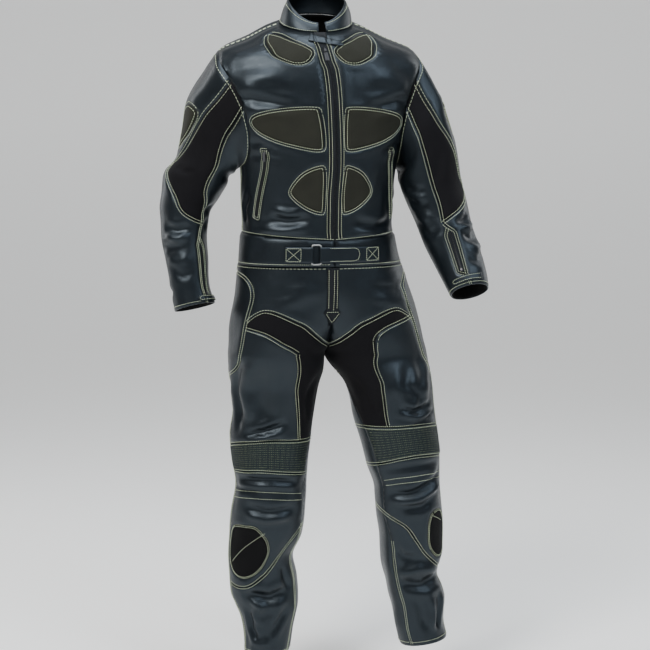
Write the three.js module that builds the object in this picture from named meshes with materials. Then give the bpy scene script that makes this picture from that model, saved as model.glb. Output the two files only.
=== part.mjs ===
// A two-piece motorcycle race suit as it is worn: a leather jacket with stretch-cloth arms, joined at its
// hem band to leather trousers. Millimetres, +Z up, front towards -Y, the suit's own left side at +X.
// The origin lies in the neck, level with the top of the front zip. Every panel is a wall cut from one
// of five tubes, the jacket body, two sleeves and two legs, along the seams that the tables below place.
import * as THREE from "three";

// Driving sizes
const WALL = 2.5; // leather with its lining
const SEAM_GAP = 0.3; // between the edges of two panels
const GRID = 34; // spacing of the points inside a panel
const SEAM_STEP = 26; // spacing of the points along a seam
const BAND_TOP = -452.5;
const BAND_BOTTOM = -512.5;
const CROTCH = -719.5;
const MID_X = 18; // where the trousers' middle plane crosses y = 0
const MID_TURN = 10; // degrees that the hips turn to the suit's own left
const ARMHOLE = { middle: -155, rise: 130, front: 37, back: 35 }; // heights in mm, widths in degrees
const SLEEVE_BLEND = 230; // length over which the armhole's shape passes into the sleeve's rings

// Rings of the jacket body. z: height of the ring's centre. x: its centre. half: half width. front, back:
// depths. pitch: degrees that the front dips. turn: degrees that the ring turns. shift: degrees that the
// front middle lies further round. square: 2 is an ellipse, more is squarer.
const BODY = table(
  ["z", "x", "half", "front", "back", "pitch", "turn", "shift", "square"],
  [
    [38.5, -0.5, 83, 76, 76, 19, 6, 1, 2.1],
    [27, -0.5, 113.5, 94, 90, 18, 6, 1, 2.1],
    [5, 0.5, 159, 110, 104, 15, 6, 2, 2.2],
    [-24, 1.5, 225, 119, 117, 11, 6, 2, 2.3],
    [-58, 2.5, 245, 126, 127, 7, 7, 2.5, 2.4],
    [-106.5, 2.5, 238.5, 132, 133, 3, 8, 3, 2.4],
    [-160, 2.5, 224.5, 136, 133, 0, 8.5, 3.5, 2.4],
    [-223.5, 3.5, 202, 137, 128, 0, 9.5, 4, 2.35],
    [-287.5, 4.5, 182, 134, 121, 0, 10, 4.5, 2.3],
    [-361.5, 2, 178.5, 129, 112, 0, 10, 4.5, 2.25],
    [-431, 2, 175.5, 126, 106, 0, 10, 4.5, 2.25],
    [-452.5, 3, 182, 127, 108, 0, 10, 4.5, 2.25],
    [-512.5, 8, 191, 129, 115, 0, 10, 3, 2.25],
  ],
);

// Rings of a leg. out and in: half widths on the outer and the inner side. apart: how far the centre lies
// from the middle plane, down to the crotch. lean: degrees that the outer side lifts.
const HIP = table(
  ["z", "apart", "in", "y", "front", "back"],
  [
    [-512.5, 0, 189, 0, 124.5, 110.5],
    [-550.5, 18, 177.5, 0, 123.5, 119.5],
    [-590.5, 42, 162.5, 0, 121.5, 126.5],
    [-630.5, 68, 147, 0, 119, 129],
    [-671, 92, 131, 0, 115, 127],
    [-719.5, 116, 116, 0, 108, 116],
  ],
);
const HIP_EDGE = {
  right: table(["z", "edge"], [[-512.5, -184], [-578.5, -190], [-638.5, -200], [-719.5, -207.5]]),
  left: table(["z", "edge"], [[-512.5, 199], [-578.5, 222.5], [-638.5, 240.5], [-719.5, 261]]),
};
// The legs below the crotch. outer and inner: the two edges seen from the front.
const LEG_COLUMNS = ["z", "outer", "inner", "y", "front", "back", "lean"];
const LEG = {
  right: table(LEG_COLUMNS, [
    [-719.5, -207.5, 18, 0, 108, 116, 0],
    [-748.5, -207.5, 17, 0, 104, 108, 1],
    [-805.5, -201, 4.5, -4, 97, 96, 3],
    [-863.5, -196.5, -5, -8, 89, 87, 4],
    [-921, -204, -12, -12, 84, 80, 4],
    [-978.5, -199.5, -19.5, -16, 79, 73, 4],
    [-1037, -190.5, -24.5, -18, 73, 68, 3],
    [-1095, -200.5, -26.5, -16, 74, 67, 2],
    [-1153, -207, -34, -8, 72, 70, 2],
    [-1212.5, -211, -55.5, 0, 69, 74, 1],
    [-1271, -209, -46, 6, 67, 72, 0],
    [-1300.5, -206.5, -44, 6, 65, 70, 0],
    [-1331, -195, -44, 6, 62, 67, 0],
    [-1360.5, -183.5, -49.5, 5, 60, 64, 0],
    [-1399.5, -176.5, -57.5, 3, 58, 60, 0],
    [-1445, -173.5, -66, 0, 57, 57, 0],
  ]),
  left: table(LEG_COLUMNS, [
    [-719.5, 261, 18, 0, 108, 116, 0],
    [-748.5, 265.5, 42, 0, 104, 108, 2],
    [-805.5, 273, 73.5, -2, 97, 96, 6],
    [-863.5, 278.5, 85.5, -4, 89, 87, 8],
    [-921, 286, 103.5, -6, 84, 80, 8],
    [-978.5, 292, 119, -6, 79, 74, 8],
    [-1037, 292.5, 138.5, -4, 73, 69, 8],
    [-1095, 297.5, 141.5, 0, 72, 68, 8],
    [-1153, 302.5, 150, 8, 70, 70, 7],
    [-1212.5, 303, 152.5, 16, 68, 73, 7],
    [-1271, 290, 166, 22, 66, 71, 7],
    [-1300.5, 301.5, 172, 23, 64, 69, 7],
    [-1331, 309, 180.5, 22, 62, 66, 8],
    [-1379.5, 306.5, 189, 20, 60, 62, 9],
    [-1424.5, 315, 201.5, 18, 58, 59, 9],
  ]),
};

// Rings of a sleeve, given down from the armhole in mm. lean: degrees that the ring's outer side lies
// above its inner side. pitch: degrees that its front lies above its back.
const SLEEVE_COLUMNS = ["down", "x", "y", "z", "half", "depth", "lean", "pitch"];
const SLEEVE = {
  right: table(SLEEVE_COLUMNS, [
    [0, -202, -27, -155, 132, 84, 78, 0],
    [25, -222, -15, -181, 119, 82, 71, 0],
    [60, -245, -2, -213.5, 101, 76, 57, 0],
    [115, -253.5, -1, -257, 77, 70, 38, 0],
    [155, -264.5, -2, -290.5, 66, 68, 19, 2],
    [195, -280.5, -3, -318, 75, 67, 11, 4],
    [240, -294, -6, -359.5, 66.5, 64, 6, 6],
    [280, -305, -9, -395, 58.5, 61, 2, 8],
    [330, -306.5, -15, -442.5, 53, 56, -1, 9],
    [392, -299.5, -26, -502.5, 49, 51, -2, 10],
    [462, -291, -39, -570.5, 44.5, 46, -5, 11],
    [508, -280.5, -48, -612.5, 48, 43, -13, 12],
  ]),
  left: table(SLEEVE_COLUMNS, [
    [0, 204.5, 28, -155, 132, 84, 81, 0],
    [25, 222, 20, -181, 119, 80, 74, 0],
    [60, 241, 8, -214, 98, 75, 64, 0],
    [115, 252, 4, -253, 82, 71, 46, 1],
    [155, 261, 3, -292.5, 76, 69, 28, 3],
    [205, 272.5, 0, -342.5, 69.5, 67, 19, 8],
    [258, 290.5, -10, -395, 64.5, 64, 19, 14],
    [315, 308, -27, -451.5, 59.5, 60, 20, 19],
    [375, 328.5, -50, -502.5, 54.5, 54, 20, 23],
    [430, 343, -74, -542.5, 50, 49, 18, 26],
    [468, 352, -92, -572.5, 44, 44, 13, 28],
  ]),
};

// Reading a table at a height between its rows, by a cubic that never overshoots them.
function table(columns, rows) {
  const key = rows.map((row) => row[0]);
  const rising = key[1] > key[0];
  const order = rising ? rows : rows.slice().reverse();
  const keys = order.map((row) => row[0]);
  const curves = {};
  columns.forEach((name, i) => {
    curves[name] = { keys, values: order.map((row) => row[i]) };
    curves[name].slopes = slopesOf(keys, curves[name].values);
  });
  return (name, at) => readCurve(curves[name], at);
}

function slopesOf(keys, values) {
  const steps = keys.slice(1).map((k, i) => (values[i + 1] - values[i]) / (k - keys[i]));
  return keys.map((k, i) => {
    if (i === 0) return steps[0];
    if (i === keys.length - 1) return steps[i - 1];
    if (steps[i - 1] * steps[i] <= 0) return 0;
    return 2 / (1 / steps[i - 1] + 1 / steps[i]);
  });
}

function readCurve({ keys, values, slopes }, at) {
  const last = keys.length - 1;
  const clamped = Math.min(Math.max(at, keys[0]), keys[last]);
  let i = 0;
  while (i < last - 1 && clamped > keys[i + 1]) i += 1;
  const span = keys[i + 1] - keys[i];
  const t = (clamped - keys[i]) / span;
  const rise = t * t * (3 - 2 * t);
  return (
    values[i] * (1 - rise) +
    values[i + 1] * rise +
    span * (slopes[i] * t * (1 - t) ** 2 - slopes[i + 1] * t * t * (1 - t))
  );
}

const radians = THREE.MathUtils.degToRad;
const signOf = { right: -1, left: 1 };

// A point on a ring: around is in degrees from the front, positive towards the ring's outer side.
function ringPoint(ring, around) {
  const s = Math.sin(radians(around));
  const c = Math.cos(radians(around));
  const power = 2 / ring.square;
  const across = Math.sign(s) * Math.abs(s) ** power * (s > 0 ? ring.out : ring.in);
  const ahead = Math.sign(c) * Math.abs(c) ** power * (c > 0 ? ring.front : ring.back);
  return ring.centre.clone().addScaledVector(ring.outward, across).addScaledVector(ring.forward, ahead);
}

// around: 0 at the front middle, 90 at the suit's left side, -90 at its right side, 180 at the back.
function bodyPoint(around, z) {
  const turn = radians(BODY("turn", z));
  const pitch = radians(BODY("pitch", z));
  const half = BODY("half", z);
  const ring = {
    centre: new THREE.Vector3(BODY("x", z), 0, z),
    outward: new THREE.Vector3(Math.cos(turn), Math.sin(turn), 0),
    forward: new THREE.Vector3(
      Math.sin(turn) * Math.cos(pitch),
      -Math.cos(turn) * Math.cos(pitch),
      -Math.sin(pitch),
    ),
    out: half,
    in: half,
    front: BODY("front", z),
    back: BODY("back", z),
    square: BODY("square", z),
  };
  return ringPoint(ring, around + BODY("shift", z));
}

// around: 0 front, 90 outer side, 180 back, -90 and 270 inner side.
function legPoint(side, around, z) {
  const sign = signOf[side];
  const read = LEG[side];
  const above = z >= CROTCH;
  const settle = THREE.MathUtils.smoothstep(CROTCH - z, 0, 90);
  const turn = radians(MID_TURN) * (1 - settle);
  const apart = HIP("apart", z);
  const inner = above ? 0 : read("inner", z);
  const outer = above ? HIP_EDGE[side]("edge", z) : read("outer", z);
  const hipX = MID_X + sign * apart * Math.cos(turn);
  const step = THREE.MathUtils.smoothstep(CROTCH - z, 0, 25);
  const x = hipX * (1 - step) + ((outer + inner) / 2) * step;
  const lean = above ? 0 : radians(read("lean", z));
  const ring = {
    centre: new THREE.Vector3(x, sign * apart * Math.sin(radians(MID_TURN)) * (1 - settle), z),
    outward: new THREE.Vector3(
      sign * Math.cos(turn) * Math.cos(lean),
      sign * Math.sin(turn) * Math.cos(lean),
      Math.sin(lean),
    ),
    forward: new THREE.Vector3(Math.sin(turn), -Math.cos(turn), 0),
    out: Math.abs(outer - x),
    in: above ? HIP("in", z) : HIP("in", CROTCH) * (1 - step) + Math.abs(inner - x) * step,
    front: above ? HIP("front", z) : read("front", z),
    back: above ? HIP("back", z) : read("back", z),
    square: 2.15,
  };
  if (!above) ring.centre.y += read("y", z);
  return ringPoint(ring, around);
}

// The armhole's edge on the jacket body: around is the sleeve's own angle, 90 at the shoulder's tip.
function armholeAt(around) {
  const c = Math.cos(radians(around));
  const s = Math.sin(radians(around));
  return [90 - (c > 0 ? ARMHOLE.front : ARMHOLE.back) * c, ARMHOLE.middle + ARMHOLE.rise * s];
}

function sleeveRing(side, around, down) {
  const read = SLEEVE[side];
  const sign = signOf[side];
  const lean = radians(read("lean", down));
  const pitch = radians(read("pitch", down));
  const half = read("half", down);
  const depth = read("depth", down);
  const outward = new THREE.Vector3(sign * Math.cos(lean), 0, Math.sin(lean));
  const flat = new THREE.Vector3(0, -Math.cos(pitch), Math.sin(pitch));
  const forward = flat.addScaledVector(outward, -flat.dot(outward)).normalize();
  const centre = new THREE.Vector3(read("x", down), read("y", down), read("z", down));
  return ringPoint(
    { centre, outward, forward, out: half, in: half, front: depth, back: depth, square: 2.05 },
    around,
  );
}

function sleevePoint(side, around, down) {
  const ring = sleeveRing(side, around, down);
  const share = 1 - THREE.MathUtils.smoothstep(down, 0, SLEEVE_BLEND);
  if (share === 0) return ring;
  const [bodyAround, z] = armholeAt(around);
  const edge = bodyPoint(signOf[side] * bodyAround, z);
  return ring.addScaledVector(edge.sub(sleeveRing(side, around, 0)), share);
}

// The seams, each a row of [degrees around, height] or, on a sleeve, [degrees around, mm down].
const round = (...points) => ({ points, curved: true });
const straight = (...points) => ({ points, curved: false });
const closed = (...points) => ({ points: [...points, points[0]], curved: true, ring: true });

// On the jacket body, for its left side. The right side is the same, mirrored.
const PLACKET = 13; // mm from the front middle to the edge of the zip's strip
const PLACKET_HEIGHTS = [38.5, 20, 0, -25, -60, -110, -170, -230, -300, -380, -456];
const BODY_SEAMS = [
  closed([66, 24], [56, 12], [36, -6], [22, -28], [13.5, -40], [7.8, -34], [6, -7], [12, 8], [24, 18], [46, 26]),
  closed([5.5, -169], [8.5, -157], [28, -162], [46, -175], [51, -192], [47, -212], [34, -232], [17, -247],
    [8, -251], [5.5, -240]),
  closed([6, -297], [9.5, -289], [20, -305], [28.5, -337], [27.5, -355], [18, -379], [8.5, -391.5], [5.8, -382]),
  straight([44.5, -250], [50, -248], [66, -401], [59.5, -406], [44.5, -250]),
  straight([90, 38.5], [90, -25]),
  straight([90, -285], [92, -360], [92, -438.5]),
  round([0, -454], [30, -448], [70, -441], [120, -436], [180, -434]),
];

const SLEEVE_SEAMS = {
  right: [
    round([30, 0], [31, 44], [36, 82], [47, 128], [63, 153], [70, 168], [54, 203], [22, 250], [0, 287],
      [-27, 304], [-51, 310]),
    round([0, 0], [-5, 47], [-9, 104], [-21, 156], [-30, 222], [-47, 262], [-51, 310]),
    closed([44, 62], [62, 62], [82, 74], [97, 88], [100, 105], [92, 125], [78, 135], [62, 124], [50, 106],
      [43, 80]),
    round([70, 168], [110, 176], [150, 180], [190, 180]),
    straight([-51, 310], [-45, 345], [-38, 365], [-43, 490], [-43, 508]),
    straight([-45, 345], [-58, 368], [-61, 490], [-43, 490]),
  ],
  left: [
    round([30, 0], [27, 33], [35, 89], [55, 150], [66, 198], [80, 222], [66, 252], [34, 277], [-5, 293]),
    round([0, 0], [-7, 62], [-3, 157], [-1, 234], [-5, 293]),
    closed([58, 66], [76, 64], [94, 74], [107, 88], [110, 105], [102, 122], [90, 130], [76, 122], [64, 106],
      [57, 84]),
    round([80, 222], [115, 222], [150, 218], [190, 212]),
    straight([-5, 293], [2, 306], [14, 322], [4, 442], [5, 468]),
    straight([2, 306], [-8, 324], [-16, 428], [4, 442]),
  ],
};
const SLEEVE_BACK_SEAM = 190;
const SLEEVE_LENGTH = { right: 508, left: 468 };

// The seams that both legs share, then each leg's own.
const HIP_SEAMS = [
  straight([95, -512.8], [95, -531]),
  closed([95, -531], [72, -538], [60, -555], [54, -580], [53, -613], [53.5, -647], [53, -700], [56, -740],
    [66, -765], [85, -777], [105, -770], [119, -742], [125, -690], [126, -613], [121, -562], [110, -538]),
  round([53.5, -643], [46, -627], [36, -615], [22, -621], [-2, -645], [-20, -668], [-40, -688], [midAround(-700), -700]),
  round([105, -770], [150, -788], [200, -782], [240, -768], [290, -760]),
];
const LEG_SEAMS = {
  right: [
    round([53, -656], [27, -668], [1, -695], [-16, -713]),
    round([-16, -713], [-25, -768], [-34, -840], [-44, -918]),
    round([85, -777], [82, -850], [78, -945], [76, -1004], [76, -1120], [70, -1274], [62, -1374], [65, -1445]),
    round([78, -945], [40, -932], [-1, -920], [-44, -918], [-90, -917]),
    round([76, -1004], [40, -998], [-1, -992], [-69, -998], [-90, -1000]),
    round([-77, -1120], [-58, -1142], [-43, -1165], [-30, -1207], [-2, -1251], [19, -1274], [41, -1281],
      [70, -1274]),
    closed([56, -1131], [34, -1127], [12, -1131], [-6, -1165], [-12, -1201], [4, -1240], [28, -1257],
      [50, -1250], [63, -1225], [67, -1180], [65, -1145]),
  ],
  left: [
    round([53.5, -633], [22, -652], [6, -670], [0, -687]),
    round([0, -687], [-6, -732], [-9, -802], [-10, -887]),
    round([85, -777], [84, -850], [84, -906], [86, -978], [92, -1120], [92, -1254], [88, -1340], [84, -1424.5]),
    round([84, -906], [44, -896], [-10, -887], [-46, -881], [-90, -880]),
    round([86, -978], [40, -966], [6, -962], [-46, -970], [-90, -974]),
    round([-81, -1072], [-60, -1082], [-37, -1099], [-9, -1127], [6, -1166], [25, -1207], [55, -1238],
      [92, -1254]),
    closed([44, -1106], [34, -1120], [29, -1146], [31, -1186], [45, -1212], [62, -1219], [76, -1205],
      [82, -1160], [76, -1118], [62, -1103]),
  ],
};
// Where a leg's tube is cut open: the inseam, which below the knee is the seam inside the shin.
const INSEAM = {
  right: table(
    ["z", "around"],
    [[-719.5, -90], [-860, -80], [-920, -73], [-1000, -70], [-1120, -72], [-1221, -69], [-1445, -66]],
  ),
  left: table(
    ["z", "around"],
    [[-719.5, -90], [-800, -75], [-880, -50], [-974, -46], [-1072, -50], [-1190, -38], [-1424.5, -33]],
  ),
};
const HEM = { right: -1445, left: -1424.5 };

// Turning seams into a net of edges. A domain is a sheet of [u, v] with its own sizes in mm per unit.
const CLOSE = 1e-4;

function curveThrough(points, ring) {
  const out = [];
  const count = points.length;
  const at = (i) => {
    if (ring) return points[(i + count - 1) % (count - 1)];
    return points[Math.min(Math.max(i, 0), count - 1)];
  };
  for (let i = 0; i < count - 1; i += 1) {
    const [a, b, c, d] = [at(i - 1), at(i), at(i + 1), at(i + 2)];
    for (let k = 0; k < 8; k += 1) {
      const t = k / 8;
      out.push([0, 1].map((n) => {
        const bend = 2 * a[n] - 5 * b[n] + 4 * c[n] - d[n];
        const twist = 3 * b[n] - 3 * c[n] + d[n] - a[n];
        return b[n] + 0.5 * t * (c[n] - a[n] + t * (bend + t * twist));
      }));
    }
  }
  out.push(points[count - 1]);
  return out;
}

class Net {
  constructor(scale) {
    this.scale = scale;
    this.nodes = [];
    this.edges = [];
  }

  gap(a, b) {
    return Math.hypot((a[0] - b[0]) * this.scale[0], (a[1] - b[1]) * this.scale[1]);
  }

  node(point, reach = 1.2) {
    const found = this.nodes.findIndex((other) => this.gap(other, point) < reach);
    if (found >= 0) return found;
    this.nodes.push(point);
    return this.nodes.length - 1;
  }

  // Adds a line and splits it, and every line it meets, where they cross or touch.
  line(points, fixed = false) {
    let from = this.node(points[0]);
    for (const point of points.slice(1)) {
      const to = this.node(point);
      if (to !== from) this.piece(from, to, fixed);
      from = to;
    }
  }

  piece(a, b, fixed) {
    const cuts = [];
    const [p, q] = [this.nodes[a], this.nodes[b]];
    const long = this.gap(p, q);
    this.nodes.forEach((point, n) => {
      if (n === a || n === b) return;
      const t = this.along(p, q, point);
      const foot = [p[0] + (q[0] - p[0]) * t, p[1] + (q[1] - p[1]) * t];
      if (t > 0 && t < 1 && this.gap(foot, point) < 1.2) cuts.push([t, n]);
    });
    for (const edge of this.edges.slice()) {
      if ([a, b].some((n) => edge.ends.includes(n))) continue;
      if (edge.ends.some((n) => cuts.some((cut) => cut[1] === n))) continue;
      const [r, s] = edge.ends.map((n) => this.nodes[n]);
      const meet = crossing(p, q, r, s);
      if (!meet) {
        for (const end of [a, b]) {
          const point = this.nodes[end];
          const t = this.along(r, s, point);
          const foot = [r[0] + (s[0] - r[0]) * t, r[1] + (s[1] - r[1]) * t];
          if (t > 0 && t < 1 && this.gap(foot, point) < 1.2) this.split(edge, end);
        }
        continue;
      }
      const point = [p[0] + (q[0] - p[0]) * meet[0], p[1] + (q[1] - p[1]) * meet[0]];
      if (Math.min(meet[0], 1 - meet[0]) * long < 1.2) {
        this.split(edge, meet[0] < 0.5 ? a : b);
        continue;
      }
      const n = this.node(point);
      if (!edge.ends.includes(n)) this.split(edge, n);
      cuts.push([meet[0], n]);
    }
    cuts.sort((m, n) => m[0] - n[0]);
    let from = a;
    for (const [, n] of [...cuts, [1, b]]) {
      if (n !== from && !this.joined(from, n)) this.edges.push({ ends: [from, n], fixed });
      from = n;
    }
  }

  along(p, q, point) {
    const d = [(q[0] - p[0]) * this.scale[0], (q[1] - p[1]) * this.scale[1]];
    const e = [(point[0] - p[0]) * this.scale[0], (point[1] - p[1]) * this.scale[1]];
    return (d[0] * e[0] + d[1] * e[1]) / (d[0] * d[0] + d[1] * d[1]);
  }

  joined(a, b) {
    return this.edges.some((edge) => edge.ends.includes(a) && edge.ends.includes(b));
  }

  split(edge, n) {
    const [a, b] = edge.ends;
    if (n === a || n === b) return;
    this.edges.splice(this.edges.indexOf(edge), 1);
    if (!this.joined(a, n)) this.edges.push({ ends: [a, n], fixed: edge.fixed });
    if (!this.joined(n, b)) this.edges.push({ ends: [n, b], fixed: edge.fixed });
  }

  degree(n) {
    return this.edges.filter((edge) => edge.ends.includes(n)).length;
  }

  // Drops the loose ends that run past the seam they were meant to stop at.
  trim() {
    let loose = true;
    while (loose) {
      loose = this.edges.find((edge) => !edge.fixed && edge.ends.some((n) => this.degree(n) === 1));
      if (loose) this.edges.splice(this.edges.indexOf(loose), 1);
    }
  }

  // Thins the points of each seam: they stay at meetings and corners, and else keep their distance.
  thin(step, sag) {
    const kept = new Set();
    this.nodes.forEach((point, n) => {
      const at = this.edges.filter((edge) => edge.ends.includes(n));
      if (at.length === 0) return;
      if (at.length !== 2 || at.some((edge) => edge.fixed)) kept.add(n);
      else if (this.bend(n, at) > 0.6) kept.add(n);
    });
    const chains = [];
    const used = new Set();
    const walk = (start, first) => {
      const chain = [start];
      let edge = first;
      let n = start;
      while (edge && !used.has(edge)) {
        used.add(edge);
        n = edge.ends[0] === n ? edge.ends[1] : edge.ends[0];
        chain.push(n);
        if (kept.has(n)) break;
        edge = this.edges.find((other) => !used.has(other) && other.ends.includes(n));
      }
      chains.push({ chain, fixed: first.fixed });
    };
    for (const n of kept) {
      for (const edge of this.edges) {
        if (edge.ends.includes(n) && !used.has(edge)) walk(n, edge);
      }
    }
    for (const edge of this.edges) {
      if (!used.has(edge)) walk(edge.ends[0], edge);
    }
    const edges = [];
    for (const { chain, fixed } of chains) {
      const picked = fixed ? chain : this.pick(chain, step, sag);
      picked.slice(1).forEach((n, i) => edges.push({ ends: [picked[i], n], fixed }));
    }
    this.edges = edges;
  }

  bend(n, at) {
    const [a, b] = at.map((edge) => this.nodes[edge.ends[0] === n ? edge.ends[1] : edge.ends[0]]);
    const to = (point) => [0, 1].map((k) => (point[k] - this.nodes[n][k]) * this.scale[k]);
    const [u, v] = [to(a), to(b)];
    const cosine = (u[0] * v[0] + u[1] * v[1]) / (Math.hypot(...u) * Math.hypot(...v));
    return Math.PI - Math.acos(Math.max(-1, Math.min(1, cosine)));
  }

  pick(chain, step, sag) {
    const long = chain.slice(1).reduce((sum, n, i) => sum + this.gap(this.nodes[chain[i]], this.nodes[n]), 0);
    const ring = chain[0] === chain[chain.length - 1];
    let parts = Math.max(ring ? 6 : 1, Math.round(long / step));
    for (;;) {
      const picked = [chain[0]];
      let run = 0;
      for (let i = 1; i < chain.length - 1; i += 1) {
        run += this.gap(this.nodes[chain[i - 1]], this.nodes[chain[i]]);
        if (picked.length < parts && run >= (long * picked.length) / parts - CLOSE) picked.push(chain[i]);
      }
      picked.push(chain[chain.length - 1]);
      if (parts >= chain.length - 1 || this.worst(chain, picked) < sag) return picked;
      parts += 1;
    }
  }

  worst(chain, picked) {
    let far = 0;
    let k = 0;
    for (const n of chain) {
      if (k < picked.length - 2 && n === picked[k + 1]) k += 1;
      const [p, q] = [this.nodes[picked[k]], this.nodes[picked[k + 1]]];
      const t = Math.max(0, Math.min(1, this.along(p, q, this.nodes[n])));
      far = Math.max(far, this.gap(this.nodes[n], [p[0] + (q[0] - p[0]) * t, p[1] + (q[1] - p[1]) * t]));
    }
    return far;
  }
}

function crossing(p, q, r, s) {
  const d = [q[0] - p[0], q[1] - p[1]];
  const e = [s[0] - r[0], s[1] - r[1]];
  const det = d[0] * e[1] - d[1] * e[0];
  if (Math.abs(det) < 1e-9) return null;
  const t = ((r[0] - p[0]) * e[1] - (r[1] - p[1]) * e[0]) / det;
  const u = ((r[0] - p[0]) * d[1] - (r[1] - p[1]) * d[0]) / det;
  return t > 0 && t < 1 && u > 0 && u < 1 ? [t, u] : null;
}

// Delaunay triangles of points, in mm.
function triangulate(points) {
  const big = 1e5;
  const all = [...points, [-big, -big], [big, -big], [0, big]];
  let faces = [circled([points.length, points.length + 1, points.length + 2], all)];
  points.forEach((point, n) => {
    const hit = faces.filter((face) => {
      const far = (point[0] - face.x) ** 2 + (point[1] - face.y) ** 2;
      return far < face.r * (1 - 1e-12);
    });
    const rim = new Map();
    for (const face of hit) {
      for (let k = 0; k < 3; k += 1) {
        const [a, b] = [face.ends[k], face.ends[(k + 1) % 3]];
        if (rim.has(`${b},${a}`)) rim.delete(`${b},${a}`);
        else rim.set(`${a},${b}`, [a, b]);
      }
    }
    const gone = new Set(hit);
    faces = faces.filter((face) => !gone.has(face));
    for (const [a, b] of rim.values()) faces.push(circled([a, b, n], all));
  });
  return faces.map((face) => face.ends).filter((ends) => ends.every((n) => n < points.length));
}

function circled(ends, all) {
  const [a, b, c] = ends.map((n) => all[n]);
  const d = 2 * (a[0] * (b[1] - c[1]) + b[0] * (c[1] - a[1]) + c[0] * (a[1] - b[1]));
  const [aa, bb, cc] = [a, b, c].map((p) => p[0] * p[0] + p[1] * p[1]);
  const x = (aa * (b[1] - c[1]) + bb * (c[1] - a[1]) + cc * (a[1] - b[1])) / d;
  const y = (aa * (c[0] - b[0]) + bb * (a[0] - c[0]) + cc * (b[0] - a[0])) / d;
  return { ends, x, y, r: (a[0] - x) ** 2 + (a[1] - y) ** 2 };
}

// Where two tubes meet, both take their points at the same fixed angles and heights.
const ARMHOLE_ANGLES = steps(-90, 270, 24);
const MID_HEIGHTS = [-512.8, -540, -566, -590, -612, -634, -654, -672, -688, -700, -709, -716, CROTCH];

function steps(from, to, count) {
  return Array.from({ length: count + 1 }, (_, i) => from + ((to - from) * i) / count);
}

// The front middle of a leg's tube, above the crotch: where it meets the other leg's.
function midAround(z) {
  const share = Math.min(HIP("apart", z) / HIP("in", z), 1);
  return -THREE.MathUtils.radToDeg(Math.asin(share ** (2.15 / 2)));
}

const midPlane = new THREE.Vector3(Math.cos(radians(MID_TURN)), Math.sin(radians(MID_TURN)), 0);

function normalOf(place, u, v) {
  const across = place(u + 0.4, v).sub(place(u - 0.4, v));
  const along = place(u, v + 1).sub(place(u, v - 1));
  return across.cross(along).normalize();
}

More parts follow.
